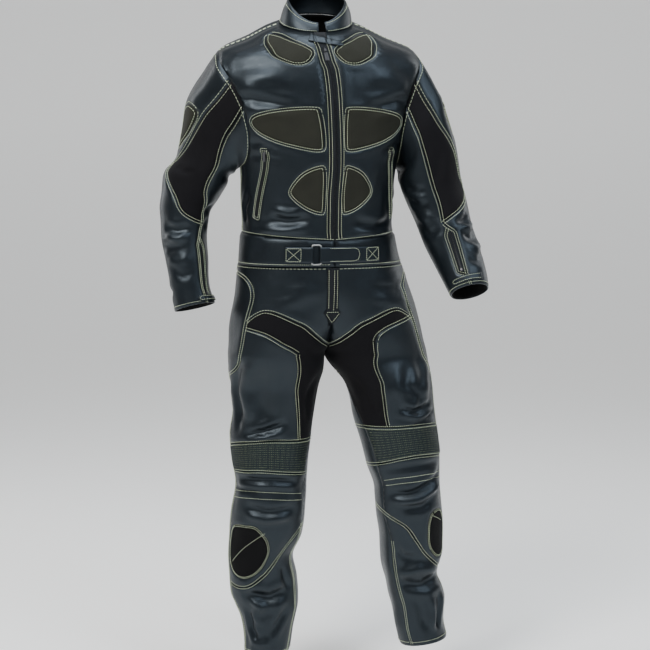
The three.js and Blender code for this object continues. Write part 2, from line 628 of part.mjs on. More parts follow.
// One tube's sheet, cut into named panels. spacing: between the inner points, in the net's mm.
class Sheet {
  constructor({ net, spacing, place, normal, seeds, pleats }) {
    Object.assign(this, { net, place, normal, seeds, pleats });
    this.points = net.nodes.map((point) => point.slice());
    this.used = new Set(net.edges.flatMap((edge) => edge.ends));
    this.loose = this.gridPoints(spacing);
    this.faces = this.conform();
    this.panels = this.flood();
  }

  flat(point) {
    return [point[0] * this.net.scale[0], point[1] * this.net.scale[1]];
  }

  gridPoints(spacing) {
    const flat = [...this.used].map((n) => this.flat(this.points[n]));
    const low = [0, 1].map((k) => Math.min(...flat.map((point) => point[k])));
    const high = [0, 1].map((k) => Math.max(...flat.map((point) => point[k])));
    const out = [];
    const rise = spacing * 0.9;
    for (let row = 1; low[1] + row * rise < high[1]; row += 1) {
      for (let x = low[0] + ((row % 2) * spacing) / 2; x < high[0]; x += spacing) {
        const point = [x / this.net.scale[0], (low[1] + row * rise) / this.net.scale[1]];
        if (this.clear(point, spacing * 0.56)) out.push(point);
      }
    }
    return out;
  }

  clear(point, reach) {
    return this.net.edges.every((edge) => {
      const [p, q] = edge.ends.map((n) => this.points[n]);
      const t = Math.max(0, Math.min(1, this.net.along(p, q, point)));
      return this.net.gap(point, [p[0] + (q[0] - p[0]) * t, p[1] + (q[1] - p[1]) * t]) > reach;
    });
  }

  // Triangles that hold every seam's edges: an edge that is missing gets a point in its middle.
  conform() {
    for (let round = 0; round < 12; round += 1) {
      const order = [...new Set(this.net.edges.flatMap((edge) => edge.ends))];
      const all = [...order.map((n) => this.net.nodes[n]), ...this.loose];
      const faces = triangulate(all.map((point, i) => {
        const [x, y] = this.flat(point);
        return [x + 1e-5 * Math.sin(i * 12.9), y + 1e-5 * Math.cos(i * 7.7)];
      }));
      const sides = new Set(faces.flatMap(([a, b, c]) => [[a, b], [b, c], [c, a]]).map(keyOf));
      const index = new Map(order.map((n, i) => [n, i]));
      const missing = this.net.edges.filter((edge) => !sides.has(keyOf(edge.ends.map((n) => index.get(n)))));
      if (missing.length === 0) {
        this.points = all;
        this.seam = new Set(this.net.edges.map((edge) => keyOf(edge.ends.map((n) => index.get(n)))));
        return faces;
      }
      for (const edge of missing) {
        if (edge.fixed) throw new Error(`a shared edge is lost at ${this.net.nodes[edge.ends[0]]}`);
        const [p, q] = edge.ends.map((n) => this.net.nodes[n]);
        this.net.nodes.push([(p[0] + q[0]) / 2, (p[1] + q[1]) / 2]);
        this.net.split(edge, this.net.nodes.length - 1);
      }
    }
    throw new Error("the seams can't be held by triangles");
  }

  // Spreads from each panel's seed over the triangles, up to its seams.
  flood() {
    const beside = new Map();
    this.faces.forEach((face, f) => {
      for (let k = 0; k < 3; k += 1) {
        const key = keyOf([face[k], face[(k + 1) % 3]]);
        beside.set(key, [...(beside.get(key) ?? []), f]);
      }
    });
    const owner = new Map();
    const panels = {};
    for (const [name, seed] of Object.entries(this.seeds)) {
      const start = this.faces.findIndex((face) => this.holds(face, seed));
      if (owner.has(start)) throw new Error(`${name} and ${owner.get(start)} are one panel`);
      const list = [start];
      owner.set(start, name);
      for (let i = 0; i < list.length; i += 1) {
        const face = this.faces[list[i]];
        for (let k = 0; k < 3; k += 1) {
          const key = keyOf([face[k], face[(k + 1) % 3]]);
          if (this.seam.has(key)) continue;
          for (const next of beside.get(key)) {
            if (owner.has(next)) continue;
            owner.set(next, name);
            list.push(next);
          }
        }
      }
      panels[name] = list.map((f) => this.faces[f]);
    }
    return panels;
  }

  holds(face, seed) {
    const [a, b, c] = face.map((n) => this.flat(this.points[n]));
    const p = this.flat(seed);
    const side = (m, n) => (n[0] - m[0]) * (p[1] - m[1]) - (n[1] - m[1]) * (p[0] - m[0]);
    const signs = [side(a, b), side(b, c), side(c, a)];
    return signs.every((s) => s >= 0) || signs.every((s) => s <= 0);
  }

  // The panel's outer skin as rows of raised pleats between its top and its bottom seam.
  pleated(faces, { rows, columns, height, top, bottom, left, right }) {
    const rim = [...nextOf(faces).keys()];
    const points = this.points.slice();
    const mapped = rim.map((n) => {
      const [u, v] = points[n];
      const down = (v - readLine(top, 0, u)) / (readLine(bottom, 0, u) - readLine(top, 0, u));
      const t = Math.abs(down - 0.5) > 0.47 ? Math.round(down) : down;
      const x = (u - left(v)) / (readLine(right, 1, v) - left(v));
      const [a, b] = [2 * x - 1, 2 * t - 1];
      return [x * columns + 0.2 * a * (1 - Math.min(1, b * b)), t * rows + 0.4 * b * (1 - Math.min(1, a * a))];
    });
    const ids = rim.slice();
    const lifts = new Map();
    for (let row = 1; row < rows; row += 1) {
      for (let column = 1; column < columns; column += 1) {
        let v = (top[0][1] + bottom[0][1]) / 2;
        let u = 0;
        for (let k = 0; k < 6; k += 1) {
          u = left(v) + ((readLine(right, 1, v) - left(v)) * column) / columns;
          v = readLine(top, 0, u) + ((readLine(bottom, 0, u) - readLine(top, 0, u)) * row) / rows;
        }
        ids.push(points.length);
        mapped.push([column, row]);
        lifts.set(points.length, row % 2 === 1 ? height : 0);
        points.push([u, v]);
      }
    }
    const made = triangulate(mapped).map((face) => face.map((i) => ids[i]).reverse());
    return { points, faces: made, lift: (n) => lifts.get(n) ?? 0 };
  }

  solid(name) {
    const faces = this.panels[name];
    const pleat = this.pleats?.[name];
    const skin = pleat ? this.pleated(faces, pleat) : { points: this.points, faces, lift: () => 0 };
    const next = nextOf(faces);
    const before = new Map([...next].map(([a, b]) => [b, a]));
    const [u, v] = this.points[faces[0][0]];
    const turned = normalOf(this.place, u, v).dot(this.normal(u, v)) < 0;
    const body = new Body(turned);
    const outer = new Map();
    const inner = new Map();
    const put = (n, points) => {
      const [pu, pv] = points[n];
      const base = this.place(pu, pv);
      const normal = this.normal(pu, pv);
      if (next.has(n)) base.add(this.drawnIn(n, before.get(n), next.get(n), normal, turned));
      outer.set(n, body.point(base.clone().addScaledVector(normal, skin.lift(n))));
      inner.set(n, body.point(base.addScaledVector(normal, -WALL)));
    };
    for (const n of new Set(skin.faces.flat())) put(n, skin.points);
    for (const n of new Set(faces.flat())) if (!outer.has(n)) put(n, this.points);
    for (const face of skin.faces) body.face(face.map((n) => outer.get(n)));
    for (const face of faces) body.face(face.map((n) => inner.get(n)).reverse());
    for (const [a, b] of next) body.side(outer.get(a), outer.get(b), inner.get(b), inner.get(a));
    return body.mesh(name);
  }

  // The step that draws an edge's point in, so that the seam is left open by SEAM_GAP.
  drawnIn(n, before, after, normal, turned) {
    const [here, from, to] = [n, before, after].map((k) => this.place(...this.points[k]));
    const side = (p, q) => {
      const out = normal.clone().cross(q.clone().sub(p)).normalize();
      return turned ? out.negate() : out;
    };
    const [a, b] = [side(from, here), side(here, to)];
    const reach = Math.min(SEAM_GAP / 2 / Math.max(1 + a.dot(b), 0.05), 2);
    return a.add(b).multiplyScalar(reach);
  }
}

const keyOf = ([a, b]) => (a < b ? `${a},${b}` : `${b},${a}`);

// From each point of a panel's edge to the next, with the panel on the left.
function nextOf(faces) {
  const sides = new Map();
  for (const face of faces) {
    for (let k = 0; k < 3; k += 1) sides.set(`${face[k]},${face[(k + 1) % 3]}`, [face[k], face[(k + 1) % 3]]);
  }
  const next = new Map();
  for (const [a, b] of sides.values()) {
    if (sides.has(`${b},${a}`)) continue;
    if (next.has(a)) throw new Error("a panel touches itself");
    next.set(a, b);
  }
  return next;
}

function readLine(points, key, at) {
  const rising = points[points.length - 1][key] > points[0][key];
  const line = rising ? points : points.slice().reverse();
  let i = 0;
  while (i < line.length - 2 && at > line[i + 1][key]) i += 1;
  const t = (at - line[i][key]) / (line[i + 1][key] - line[i][key]);
  return line[i][1 - key] + (line[i + 1][1 - key] - line[i][1 - key]) * t;
}

class Body {
  constructor(turned = false) {
    this.turned = turned;
    this.spots = [];
    this.ends = [];
  }

  point(p) {
    this.spots.push(p.x, p.y, p.z);
    return this.spots.length / 3 - 1;
  }

  face(ends) {
    this.ends.push(...(this.turned ? ends.slice().reverse() : ends));
  }

  // The edge's own face. It is parted from its higher end, so that both panels at a seam part it alike.
  side(a, b, low, back) {
    const height = (n) => this.spots[n * 3 + 2] + this.spots[n * 3] * 0.31;
    const ends = height(a) > height(b) ? [[b, a, low], [a, back, low]] : [[b, a, back], [b, back, low]];
    for (const face of ends) this.face(face);
  }

  mesh(name, slot = slotOf(name)) {
    const geometry = new THREE.BufferGeometry();
    geometry.setAttribute("position", new THREE.Float32BufferAttribute(this.spots, 3));
    geometry.setIndex(this.ends);
    return named(name, geometry, slot);
  }
}

// A closed strip on a surface: rows of points between two edges, spread from an inner to an outer height.
// at(i, j, k) gives the point of column i and row j, on the inner (0) or the outer side (1).
function strip(name, columns, rows, at, turned = false) {
  const body = new Body(turned);
  const spot = (i, j, k) => (i * (rows + 1) + j) * 2 + k;
  for (let i = 0; i <= columns; i += 1) {
    for (let j = 0; j <= rows; j += 1) {
      body.point(at(i, j, 0));
      body.point(at(i, j, 1));
    }
  }
  const quad = (a, b, c, d) => {
    body.face([a, b, c]);
    body.face([a, c, d]);
  };
  for (let i = 0; i < columns; i += 1) {
    for (let j = 0; j < rows; j += 1) {
      quad(spot(i, j, 1), spot(i + 1, j, 1), spot(i + 1, j + 1, 1), spot(i, j + 1, 1));
      quad(spot(i, j, 0), spot(i, j + 1, 0), spot(i + 1, j + 1, 0), spot(i + 1, j, 0));
    }
    quad(spot(i, 0, 0), spot(i + 1, 0, 0), spot(i + 1, 0, 1), spot(i, 0, 1));
    quad(spot(i, rows, 1), spot(i + 1, rows, 1), spot(i + 1, rows, 0), spot(i, rows, 0));
  }
  for (let j = 0; j < rows; j += 1) {
    quad(spot(0, j, 0), spot(0, j, 1), spot(0, j + 1, 1), spot(0, j + 1, 0));
    quad(spot(columns, j, 1), spot(columns, j, 0), spot(columns, j + 1, 0), spot(columns, j + 1, 1));
  }
  return body.mesh(name);
}

// Colours and finishes
const SLOTS = {
  leather: { color: "#1b1d22", roughness: 0.38, metalness: 0 },
  stretch: { color: "#100f14", roughness: 0.9, metalness: 0 },
  mesh: { color: "#2b2a21", roughness: 0.85, metalness: 0 },
  zip: { color: "#141414", roughness: 0.6, metalness: 0 },
  metal: { color: "#8d9094", roughness: 0.3, metalness: 1 },
};

function slotOf(name) {
  if (/crescent|insert/.test(name)) return "mesh";
  if (/stretch/.test(name)) return "stretch";
  if (/zip|fly/.test(name)) return "zip";
  if (/buckle|pull/.test(name)) return "metal";
  return "leather";
}

function named(name, geometry, slot) {
  geometry.computeVertexNormals();
  const mesh = new THREE.Mesh(geometry, new THREE.MeshStandardMaterial({ name: slot, ...SLOTS[slot] }));
  mesh.name = name;
  return mesh;
}

// The normals that two tubes share where they meet, by the point's own place in each sheet.
const spotKey = (u, v) => `${u.toFixed(2)},${v.toFixed(2)}`;
const shared = { body: new Map(), right: new Map(), left: new Map() };
for (const side of ["right", "left"]) {
  const sign = signOf[side];
  for (const angle of ARMHOLE_ANGLES) {
    const [around, z] = armholeAt(angle);
    const onBody = outward(bodyPoint, sign * around, z, [0, 0, z]);
    const onSleeve = outward((u, v) => sleevePoint(side, u, v), angle, 2, [sign * 200, 0, -155]);
    const both = onBody.add(onSleeve).normalize();
    shared.body.set(spotKey(sign * around, z), both);
    shared[side].set(spotKey(angle, 0), both);
  }
}

// The surface's normal, turned to point away from a place inside.
function outward(place, u, v, inside) {
  const normal = normalOf(place, u, v);
  const away = place(u, v).sub(new THREE.Vector3(...inside));
  return normal.dot(away) < 0 ? normal.negate() : normal;
}

function bodyNormal(u, v) {
  return shared.body.get(spotKey(u, v))?.clone() ?? outward(bodyPoint, u, v, [0, 0, Math.min(v, 0) - 20]);
}

function sleeveNormal(side) {
  return (u, v) => {
    const found = shared[side].get(spotKey(u, v));
    if (found) return found.clone();
    const read = SLEEVE[side];
    const inside = [read("x", v), read("y", v), read("z", v)];
    return outward((a, b) => sleevePoint(side, a, b), u, v, inside);
  };
}

function legNormal(side) {
  return (u, v) => {
    if (v === CROTCH && Math.abs(u - 90) > 179) {
      return new THREE.Vector3(0, 0, -1).addScaledVector(midPlane, -signOf[side]).normalize();
    }
    const place = (a, b) => legPoint(side, a, b);
    const centre = legPoint(side, 90, v).add(legPoint(side, -90, v)).multiplyScalar(0.5);
    const normal = outward(place, u, v, centre.toArray());
    const onMiddle = MID_HEIGHTS.includes(v) && [midAround(v), 180 - midAround(v)].some((m) => near(m, u));
    if (onMiddle) normal.addScaledVector(midPlane, -normal.dot(midPlane)).normalize();
    return normal;
  };
}

const near = (a, b) => Math.abs(a - b) < 0.01;

function lineOf({ points, curved, ring }) {
  return curved ? curveThrough(points, ring) : points;
}

function addSeams(net, seams, mirrored = false) {
  for (const seam of seams) {
    const line = lineOf(seam);
    net.line(line);
    if (mirrored) net.line(line.map(([u, v]) => [-u, v]));
  }
}

// The angle around the body at a distance across from the front middle, in mm.
function aside(mm, z) {
  const power = BODY("square", z) / 2;
  const shift = BODY("shift", z);
  const to = Math.sin(radians(shift)) ** (1 / power) + mm / BODY("half", z);
  return THREE.MathUtils.radToDeg(Math.asin(Math.sign(to) * Math.abs(to) ** power)) - shift;
}

function edgeLine(net, points) {
  net.line(points, true);
}

function bodySheet() {
  const net = new Net([3.3, 1]);
  const heights = steps(38.5, -512.5, 18);
  edgeLine(net, steps(-180, 180, 30).map((u) => [u, 38.5]));
  edgeLine(net, steps(-180, 180, 36).map((u) => [u, -512.5]));
  for (const u of [-180, 180]) edgeLine(net, heights.map((z) => [u, z]));
  for (const sign of [-1, 1]) {
    edgeLine(net, ARMHOLE_ANGLES.map((angle) => armholeAt(angle)).map(([u, z]) => [sign * u, z]));
  }
  addSeams(net, BODY_SEAMS, true);
  for (const sign of [-1, 1]) addSeams(net, [straight(...PLACKET_HEIGHTS.map((z) => [aside(sign * PLACKET, z), z]))]);
  addSeams(net, [straight([0, -454], [0, -512.5])]);
  net.trim();
  net.thin(SEAM_STEP, 1.6);
  const seeds = { front_zip: [0, -200] };
  for (const side of ["right", "left"]) {
    const sign = signOf[side];
    seeds[`front_${side}`] = [sign * 30, -270];
    seeds[`back_${side}`] = [sign * 150, -200];
    seeds[`neck_crescent_${side}`] = [sign * 20, 0];
    seeds[`chest_insert_${side}`] = [sign * 25, -200];
    seeds[`waist_insert_${side}`] = [sign * 15, -340];
    seeds[`pocket_zip_${side}`] = [sign * 54, -320];
    seeds[`hem_band_${side}`] = [sign * 60, -480];
  }
  return new Sheet({ net, spacing: GRID, place: bodyPoint, normal: bodyNormal, seeds });
}

function sleeveSheet(side) {
  const net = new Net([1.15, 0.75]);
  const long = SLEEVE_LENGTH[side];
  edgeLine(net, ARMHOLE_ANGLES.map((u) => [u, 0]));
  edgeLine(net, steps(-90, 270, 18).map((u) => [u, long]));
  for (const u of [-90, 270]) edgeLine(net, steps(0, long, 14).map((down) => [u, down]));
  addSeams(net, SLEEVE_SEAMS[side]);
  addSeams(net, [straight([195, 0], [SLEEVE_BACK_SEAM, 60], [SLEEVE_BACK_SEAM, long])]);
  net.trim();
  net.thin(SEAM_STEP, 1.6);
  const right = side === "right";
  const seeds = {
    [`sleeve_upper_${side}`]: [130, 80],
    [`arm_insert_${side}`]: right ? [70, 100] : [84, 100],
    [`sleeve_stretch_${side}`]: right ? [15, 120] : [15, 120],
    [`sleeve_forearm_${side}`]: [100, 350],
    [`sleeve_inner_${side}`]: [-60, 150],
    [`sleeve_back_${side}`]: [230, 200],
    [`sleeve_zip_${side}`]: right ? [-48, 420] : [-2, 390],
  };
  return new Sheet({
    net,
    spacing: 30,
    place: (u, v) => sleevePoint(side, u, v),
    normal: sleeveNormal(side),
    seeds,
  });
}

function legSheet(side) {
  const net = new Net([1.5, 0.75]);
  const hem = HEM[side];
  const cut = (z) => INSEAM[side]("around", z);
  const low = steps(CROTCH, hem, 22);
  edgeLine(net, steps(0, 180, 18).map((u) => [u, MID_HEIGHTS[0]]));
  edgeLine(net, [...MID_HEIGHTS.map((z) => [midAround(z), z]), ...low.slice(1).map((z) => [cut(z), z])]);
  edgeLine(net, [
    ...MID_HEIGHTS.map((z) => [180 - midAround(z), z]),
    ...low.slice(1).map((z) => [cut(z) + 360, z]),
  ]);
  edgeLine(net, steps(cut(hem), cut(hem) + 360, 20).map((u) => [u, hem]));
  addSeams(net, [...HIP_SEAMS, ...LEG_SEAMS[side]]);
  net.trim();
  net.thin(SEAM_STEP, 1.6);
  const right = side === "right";
  const seeds = {
    [`yoke_${side}`]: [30, -570],
    [`hip_side_${side}`]: [90, -650],
    [`seat_${side}`]: [160, -620],
    [`thigh_stretch_${side}`]: [-40, -740],
    [`thigh_${side}`]: [30, -800],
    [`knee_pleats_${side}`]: [0, right ? -960 : -925],
    [`knee_${side}`]: [20, -1060],
    [`knee_patch_${side}`]: right ? [30, -1190] : [55, -1160],
    [`shin_${side}`]: [20, -1350],
    [`leg_back_${side}`]: [180, -1000],
  };
  const [, , outerSeam, top, bottom] = LEG_SEAMS[side];
  const pleats = {
    [`knee_pleats_${side}`]: {
      rows: 28,
      columns: 8,
      height: 2.5,
      top: lineOf(top),
      bottom: lineOf(bottom),
      left: cut,
      right: lineOf(outerSeam),
    },
  };
  return new Sheet({
    net,
    spacing: 31,
    place: (u, v) => legPoint(side, u, v),
    normal: legNormal(side),
    seeds,
    pleats,
  });
}

const group = new THREE.Group();
group.name = "suit";
for (const sheet of [bodySheet(), ...["right", "left"].flatMap((side) => [sleeveSheet(side), legSheet(side)])]) {
  for (const name of Object.keys(sheet.seeds)) group.add(sheet.solid(name));
}

// The collar, a wall that stands on the neck's edge, open at the front.
const COLLAR = { from: 10, to: 359, half: 67, front: 60, back: 62, side: 90, dip: 54, rise: 18, thick: 3 };

function collarPoint(u, t) {
  const base = bodyPoint(u, 38.5);
  const turn = radians(6);
  const c = Math.cos(radians(u));
  const across = COLLAR.half * Math.sin(radians(u));
  const ahead = c * (c > 0 ? COLLAR.front : COLLAR.back);
  const top = new THREE.Vector3(
    1.5 + across * Math.cos(turn) + ahead * Math.sin(turn),
    across * Math.sin(turn) - ahead * Math.cos(turn),
    COLLAR.side - (c > 0 ? COLLAR.dip * c ** 1.4 : COLLAR.rise * c),
  );
  const point = base.lerp(top, t);
  point.z += 0.35 * (1 - t);
  return point.addScaledVector(new THREE.Vector3(Math.sin(radians(u)), -c, 0), 3 * Math.sin(Math.PI * t));
}

group.add(
  strip("collar", 34, 3, (i, j, k) => {
    const u = COLLAR.from + ((COLLAR.to - COLLAR.from) * i) / 34;
    const inward = new THREE.Vector3(-Math.sin(radians(u)), Math.cos(radians(u)), 0);
    return collarPoint(u, j / 3).addScaledVector(inward, k ? 0 : COLLAR.thick);
  }),
);

// The pieces that lie on the body are made from its points, moved out.
const bodyOut = (u, z, out) => bodyPoint(u, z).addScaledVector(bodyNormal(u, z), out);

// The collar's closing tab: its middle line falls from the collar's end across the zip.
group.add(
  strip("collar_tab", 12, 2, (i, j, k) => {
    const u = -12 + (30 * i) / 12;
    const fullness = Math.sqrt(Math.max(0.06, 1 - (Math.max(0, u - 12) / 6) ** 2));
    return bodyOut(u, 29 - (u + 12) * 0.5 + (j - 1) * 7 * fullness, k ? 3 : 0.6);
  }),
);

// The belt. Each strap is a path of [mm across from the front middle, mm out], given a width.
const STRAP = { low: -503, high: -468, thick: 1.8, lower: 1.4, upper: 3.6 };
const BAR = { keeper: -54, strap: -33, out: 4.3, radius: 1.5, top: -463, bottom: -507, turn: 2.9 };

function strapTurn(bar, sense) {
  return steps(0, 180, 6).map((angle) => [
    bar + sense * BAR.turn * Math.sin(radians(angle)),
    BAR.out - BAR.turn * Math.cos(radians(angle)),
  ]);
}

function strap(name, path, fullness) {
  const body = strip(
    name,
    path.length - 1,
    2,
    (i, j, k) => {
      const [p, q] = [path[Math.max(i - 1, 0)], path[Math.min(i + 1, path.length - 1)]];
      const long = Math.hypot(q[0] - p[0], q[1] - p[1]);
      const way = ((k ? 1 : -1) * STRAP.thick) / 2 / long;
      const s = path[i][0] - (q[1] - p[1]) * way;
      const out = path[i][1] + (q[0] - p[0]) * way;
      const middle = (STRAP.low + STRAP.high) / 2;
      const z = middle + (((j - 1) * (STRAP.high - STRAP.low)) / 2) * fullness(i);
      return bodyOut(aside(s, z), z, out);
    },
  );
  group.add(body);
}

const level = (from, to, count, out) => steps(from, to, count).map((s) => [s, out]);
strap(
  "belt_keeper",
  [...level(-113, -62, 4, STRAP.lower), ...strapTurn(BAR.keeper, 1), [-64, 5], ...level(-74, -113, 3, STRAP.upper)],
  () => 1,
);
const topLayer = level(-8, 48, 5, STRAP.upper);
const roundEnd = [52, 55.5, 58, 59.3].map((s) => [s, STRAP.upper]);
const strapPath = [...level(105, -22, 9, STRAP.lower), ...strapTurn(BAR.strap, -1), [-20, 5], ...topLayer, ...roundEnd];
strap("belt_strap", strapPath, (i) => {
  const over = Math.max(0, i < 10 ? 0 : strapPath[i][0] - 48) / 12;
  return Math.sqrt(Math.max(0.05, 1 - over * over));
});

const corner = 5;
const loop = [];
for (const [s, z, angle] of [
  [BAR.strap - corner, BAR.top - corner, 0],
  [BAR.keeper + corner, BAR.top - corner, 90],
  [BAR.keeper + corner, BAR.bottom + corner, 180],
  [BAR.strap - corner, BAR.bottom + corner, 270],
]) {
  for (const a of [0, 45, 90]) {
    const [x, y] = [Math.cos(radians(angle + a)), Math.sin(radians(angle + a))];
    const height = z + corner * y;
    const u = aside(s + corner * x, height);
    loop.push({ point: bodyOut(u, height, BAR.out), normal: bodyNormal(u, height) });
  }
}

// A wire bent to a closed loop, with eight points around it.
function wireLoop(name, spots, radius) {
  const body = new Body();
  spots.forEach(({ point, normal }, i) => {
    const [before, after] = [spots.at(i - 1), spots[(i + 1) % spots.length]].map((spot) => spot.point);
    const way = after.clone().sub(before).normalize();
    const side = normal.clone().cross(way).normalize();
    const up = way.clone().cross(side);
    for (const angle of steps(0, 315, 7)) {
      const [c, d] = [Math.cos(radians(angle)), Math.sin(radians(angle))];
      body.point(point.clone().addScaledVector(side, radius * c).addScaledVector(up, radius * d));
    }
  });
  const spot = (i, j) => (i % spots.length) * 8 + (j % 8);
  for (let i = 0; i < spots.length; i += 1) {
    for (let j = 0; j < 8; j += 1) {
      body.face([spot(i, j), spot(i, j + 1), spot(i + 1, j + 1)]);
      body.face([spot(i, j), spot(i + 1, j + 1), spot(i + 1, j)]);
    }
  }
  return body.mesh(name);
}
group.add(wireLoop("buckle", loop, BAR.radius));

// The fly: a strip over the trousers' front seam that ends in a triangle.
const FLY = { z: [-516, -540, -565, -590, -613, -618, -632, -645], half: [13, 13, 13, 13, 13, 20, 11.5, 4] };

function flyPoint(mm, z, out) {
  const side = mm < 0 ? "right" : "left";
  const across = Math.abs(mm) - HIP("apart", z);
  const outer = Math.abs(HIP_EDGE[side]("edge", z) - MID_X) - HIP("apart", z) * Math.cos(radians(MID_TURN));
  const share = Math.abs(across) / (across < 0 ? HIP("in", z) : outer);
  const around = Math.sign(across) * THREE.MathUtils.radToDeg(Math.asin(share ** (2.15 / 2)));
  const normal = legNormal(side)(around, z);
  if (mm === 0) normal.addScaledVector(midPlane, -normal.dot(midPlane)).normalize();
  return legPoint(side, around, z).addScaledVector(normal, out);
}

group.add(
  strip("fly", 4, 7, (i, j, k) => flyPoint((FLY.half[7 - j] * (i - 2)) / 2, FLY.z[7 - j], k ? 2 : 0.5)),
);

// The cuffs' tabs, round at one end. from and to: degrees around the cuff.
const CUFF_TABS = {
  right: { from: -96, to: -20, down: 494, half: 8 },
  left: { from: 44, to: -44, down: 449, half: 8 },
};
for (const side of ["right", "left"]) {
  const { from, to, down, half } = CUFF_TABS[side];
  const place = (u, v, out) =>
    sleevePoint(side, u, v).addScaledVector(sleeveNormal(side)(u, v), out);
  group.add(
    strip(
      `cuff_tab_${side}`,
      12,
      2,
      (i, j, k) => {
        const u = from + ((to - from) * i) / 12;
        const over = Math.max(0, Math.abs(u - from) / Math.abs(to - from) - 0.88) / 0.12;
        const fullness = Math.sqrt(Math.max(0.06, 1 - over * over));
        return place(u, down + (j - 1) * half * fullness, k ? 2.9 : 0.9);
      },
      false,
    ),
  );
}

// The zips' pull tabs, each hung from its upper end. lean: mm that the lower end lies aside.
const PULLS = {
  main_pull: { u: 0, z: -8, long: 22, lean: 0, half: 3.5, out: 0.6 },
  pocket_pull_right: { u: -48.6, z: -256, long: 20, lean: -1.9, half: 3, out: 1.2 },
  pocket_pull_left: { u: 48.6, z: -256, long: 20, lean: 1.9, half: 3, out: 1.2 },
};
for (const [name, { u, z, long, lean, half, out }] of Object.entries(PULLS)) {
  const degree = bodyPoint(u + 1, z).distanceTo(bodyPoint(u, z));
  group.add(
    strip(name, 2, 3, (i, j, k) => {
      const t = 1 - j / 3;
      return bodyOut(u + lean * t + ((i - 1) * half) / degree, z - long * t, k ? out + 1.8 : out);
    }),
  );
}

export default group;
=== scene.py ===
# A two-piece motorcycle race suit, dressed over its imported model: panels of leather, stretch cloth and
# woven mesh with their folds, double contrast stitching, zips, belt, collar and pleated knees.
# Surfaces are worked out in millimetres, as in the part's source, and scaled where a mesh is made.
import math

import bmesh
import bpy
import numpy as np
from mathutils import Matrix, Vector, kdtree, noise
from mathutils.geometry import delaunay_2d_cdt


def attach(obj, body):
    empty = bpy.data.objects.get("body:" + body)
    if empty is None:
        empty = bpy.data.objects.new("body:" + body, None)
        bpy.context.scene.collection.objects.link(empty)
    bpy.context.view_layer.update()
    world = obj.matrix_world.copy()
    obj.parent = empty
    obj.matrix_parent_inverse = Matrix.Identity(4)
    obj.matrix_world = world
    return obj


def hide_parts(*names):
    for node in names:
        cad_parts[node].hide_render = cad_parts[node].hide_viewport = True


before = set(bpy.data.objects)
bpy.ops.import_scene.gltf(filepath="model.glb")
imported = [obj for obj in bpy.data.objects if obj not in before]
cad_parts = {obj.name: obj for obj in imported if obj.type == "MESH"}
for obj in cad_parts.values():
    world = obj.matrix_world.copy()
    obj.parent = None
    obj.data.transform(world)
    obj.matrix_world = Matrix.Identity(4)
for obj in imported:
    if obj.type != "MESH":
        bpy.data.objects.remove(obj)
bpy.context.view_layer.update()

MM = 0.001

# Camera: chest height, tilted down to the frame's centre.
CAMERA_X = 21
CAMERA_BACK = 3800
CAMERA_Z = -190.6
CAMERA_TILT = math.atan(470 / CAMERA_BACK)
MM_PER_PIXEL = 2.35
FRAME_PIXELS = 650
SENSOR = 36
FLOOR_DROP = 88  # the floor below the longer hem, where the boots would stand


def place_camera():
    camera = bpy.data.objects.new("camera", bpy.data.cameras.new("camera"))
    bpy.context.scene.collection.objects.link(camera)
    camera.location = Vector((CAMERA_X, -CAMERA_BACK, CAMERA_Z)) * MM
    camera.rotation_euler = (math.pi / 2 - CAMERA_TILT, 0, 0)
    reach = CAMERA_BACK / math.cos(CAMERA_TILT)
    camera.data.sensor_width = SENSOR
    camera.data.lens = SENSOR * reach / (FRAME_PIXELS * MM_PER_PIXEL)
    camera.data.clip_end = 50
    bpy.context.scene.camera = camera


place_camera()


# Tables of rings, read by a cubic that never overshoots its rows.
class Rings:
    def __init__(self, columns, rows):
        data = np.array(rows, float)
        if data[0, 0] > data[1, 0]:
            data = data[::-1]
        self.keys = data[:, 0]
        self.curves = {}
        for place, name in enumerate(columns):
            values = data[:, place]
            self.curves[name] = (values, self.slopes(values))

    def slopes(self, values):
        steps = np.diff(values) / np.diff(self.keys)
        slopes = np.zeros(len(values))
        slopes[0] = steps[0]
        slopes[-1] = steps[-1]
        for i in range(1, len(values) - 1):
            if steps[i - 1] * steps[i] > 0:
                slopes[i] = 2 / (1 / steps[i - 1] + 1 / steps[i])
        return slopes

    def __call__(self, name, at):
        values, slopes = self.curves[name]
        at = np.clip(at, self.keys[0], self.keys[-1])
        i = np.clip(np.searchsorted(self.keys, at, side="right") - 1, 0, len(self.keys) - 2)
        span = self.keys[i + 1] - self.keys[i]
        t = (at - self.keys[i]) / span
        rise = t * t * (3 - 2 * t)
        bend = slopes[i] * t * (1 - t) ** 2 - slopes[i + 1] * t * t * (1 - t)
        return values[i] * (1 - rise) + values[i + 1] * rise + span * bend


# Driving sizes, in mm, as in the part's source.
WALL = 2.5
NECK = 38.5
WAIST = -512.5
TROUSER_TOP = -512.8
CROTCH = -719.5
CROTCH_BLEND = 70  # below the crotch, where one leg's tube leaves the other's
CROTCH_TURN = 90  # below the crotch, where the legs have turned to face the front
MID_X = 18  # the trousers' front middle
MID_TURN = 10  # degrees that the trousers face aside
SLEEVE_BLEND = 230
LEG_SQUARE = 2.15
SLEEVE_SQUARE = 2.05
# In the flat: mm for one degree around, and for one mm of height.
BODY_SCALE = [3.3, 1]
SLEEVE_SCALE = [1.15, 0.95]
LEG_SCALE = [1.75, 1]
SIGN = {"right": -1, "left": 1}
SIDES = ("right", "left")
ARMHOLE = {"middle": -155, "rise": 130, "front": 37, "back": 35}

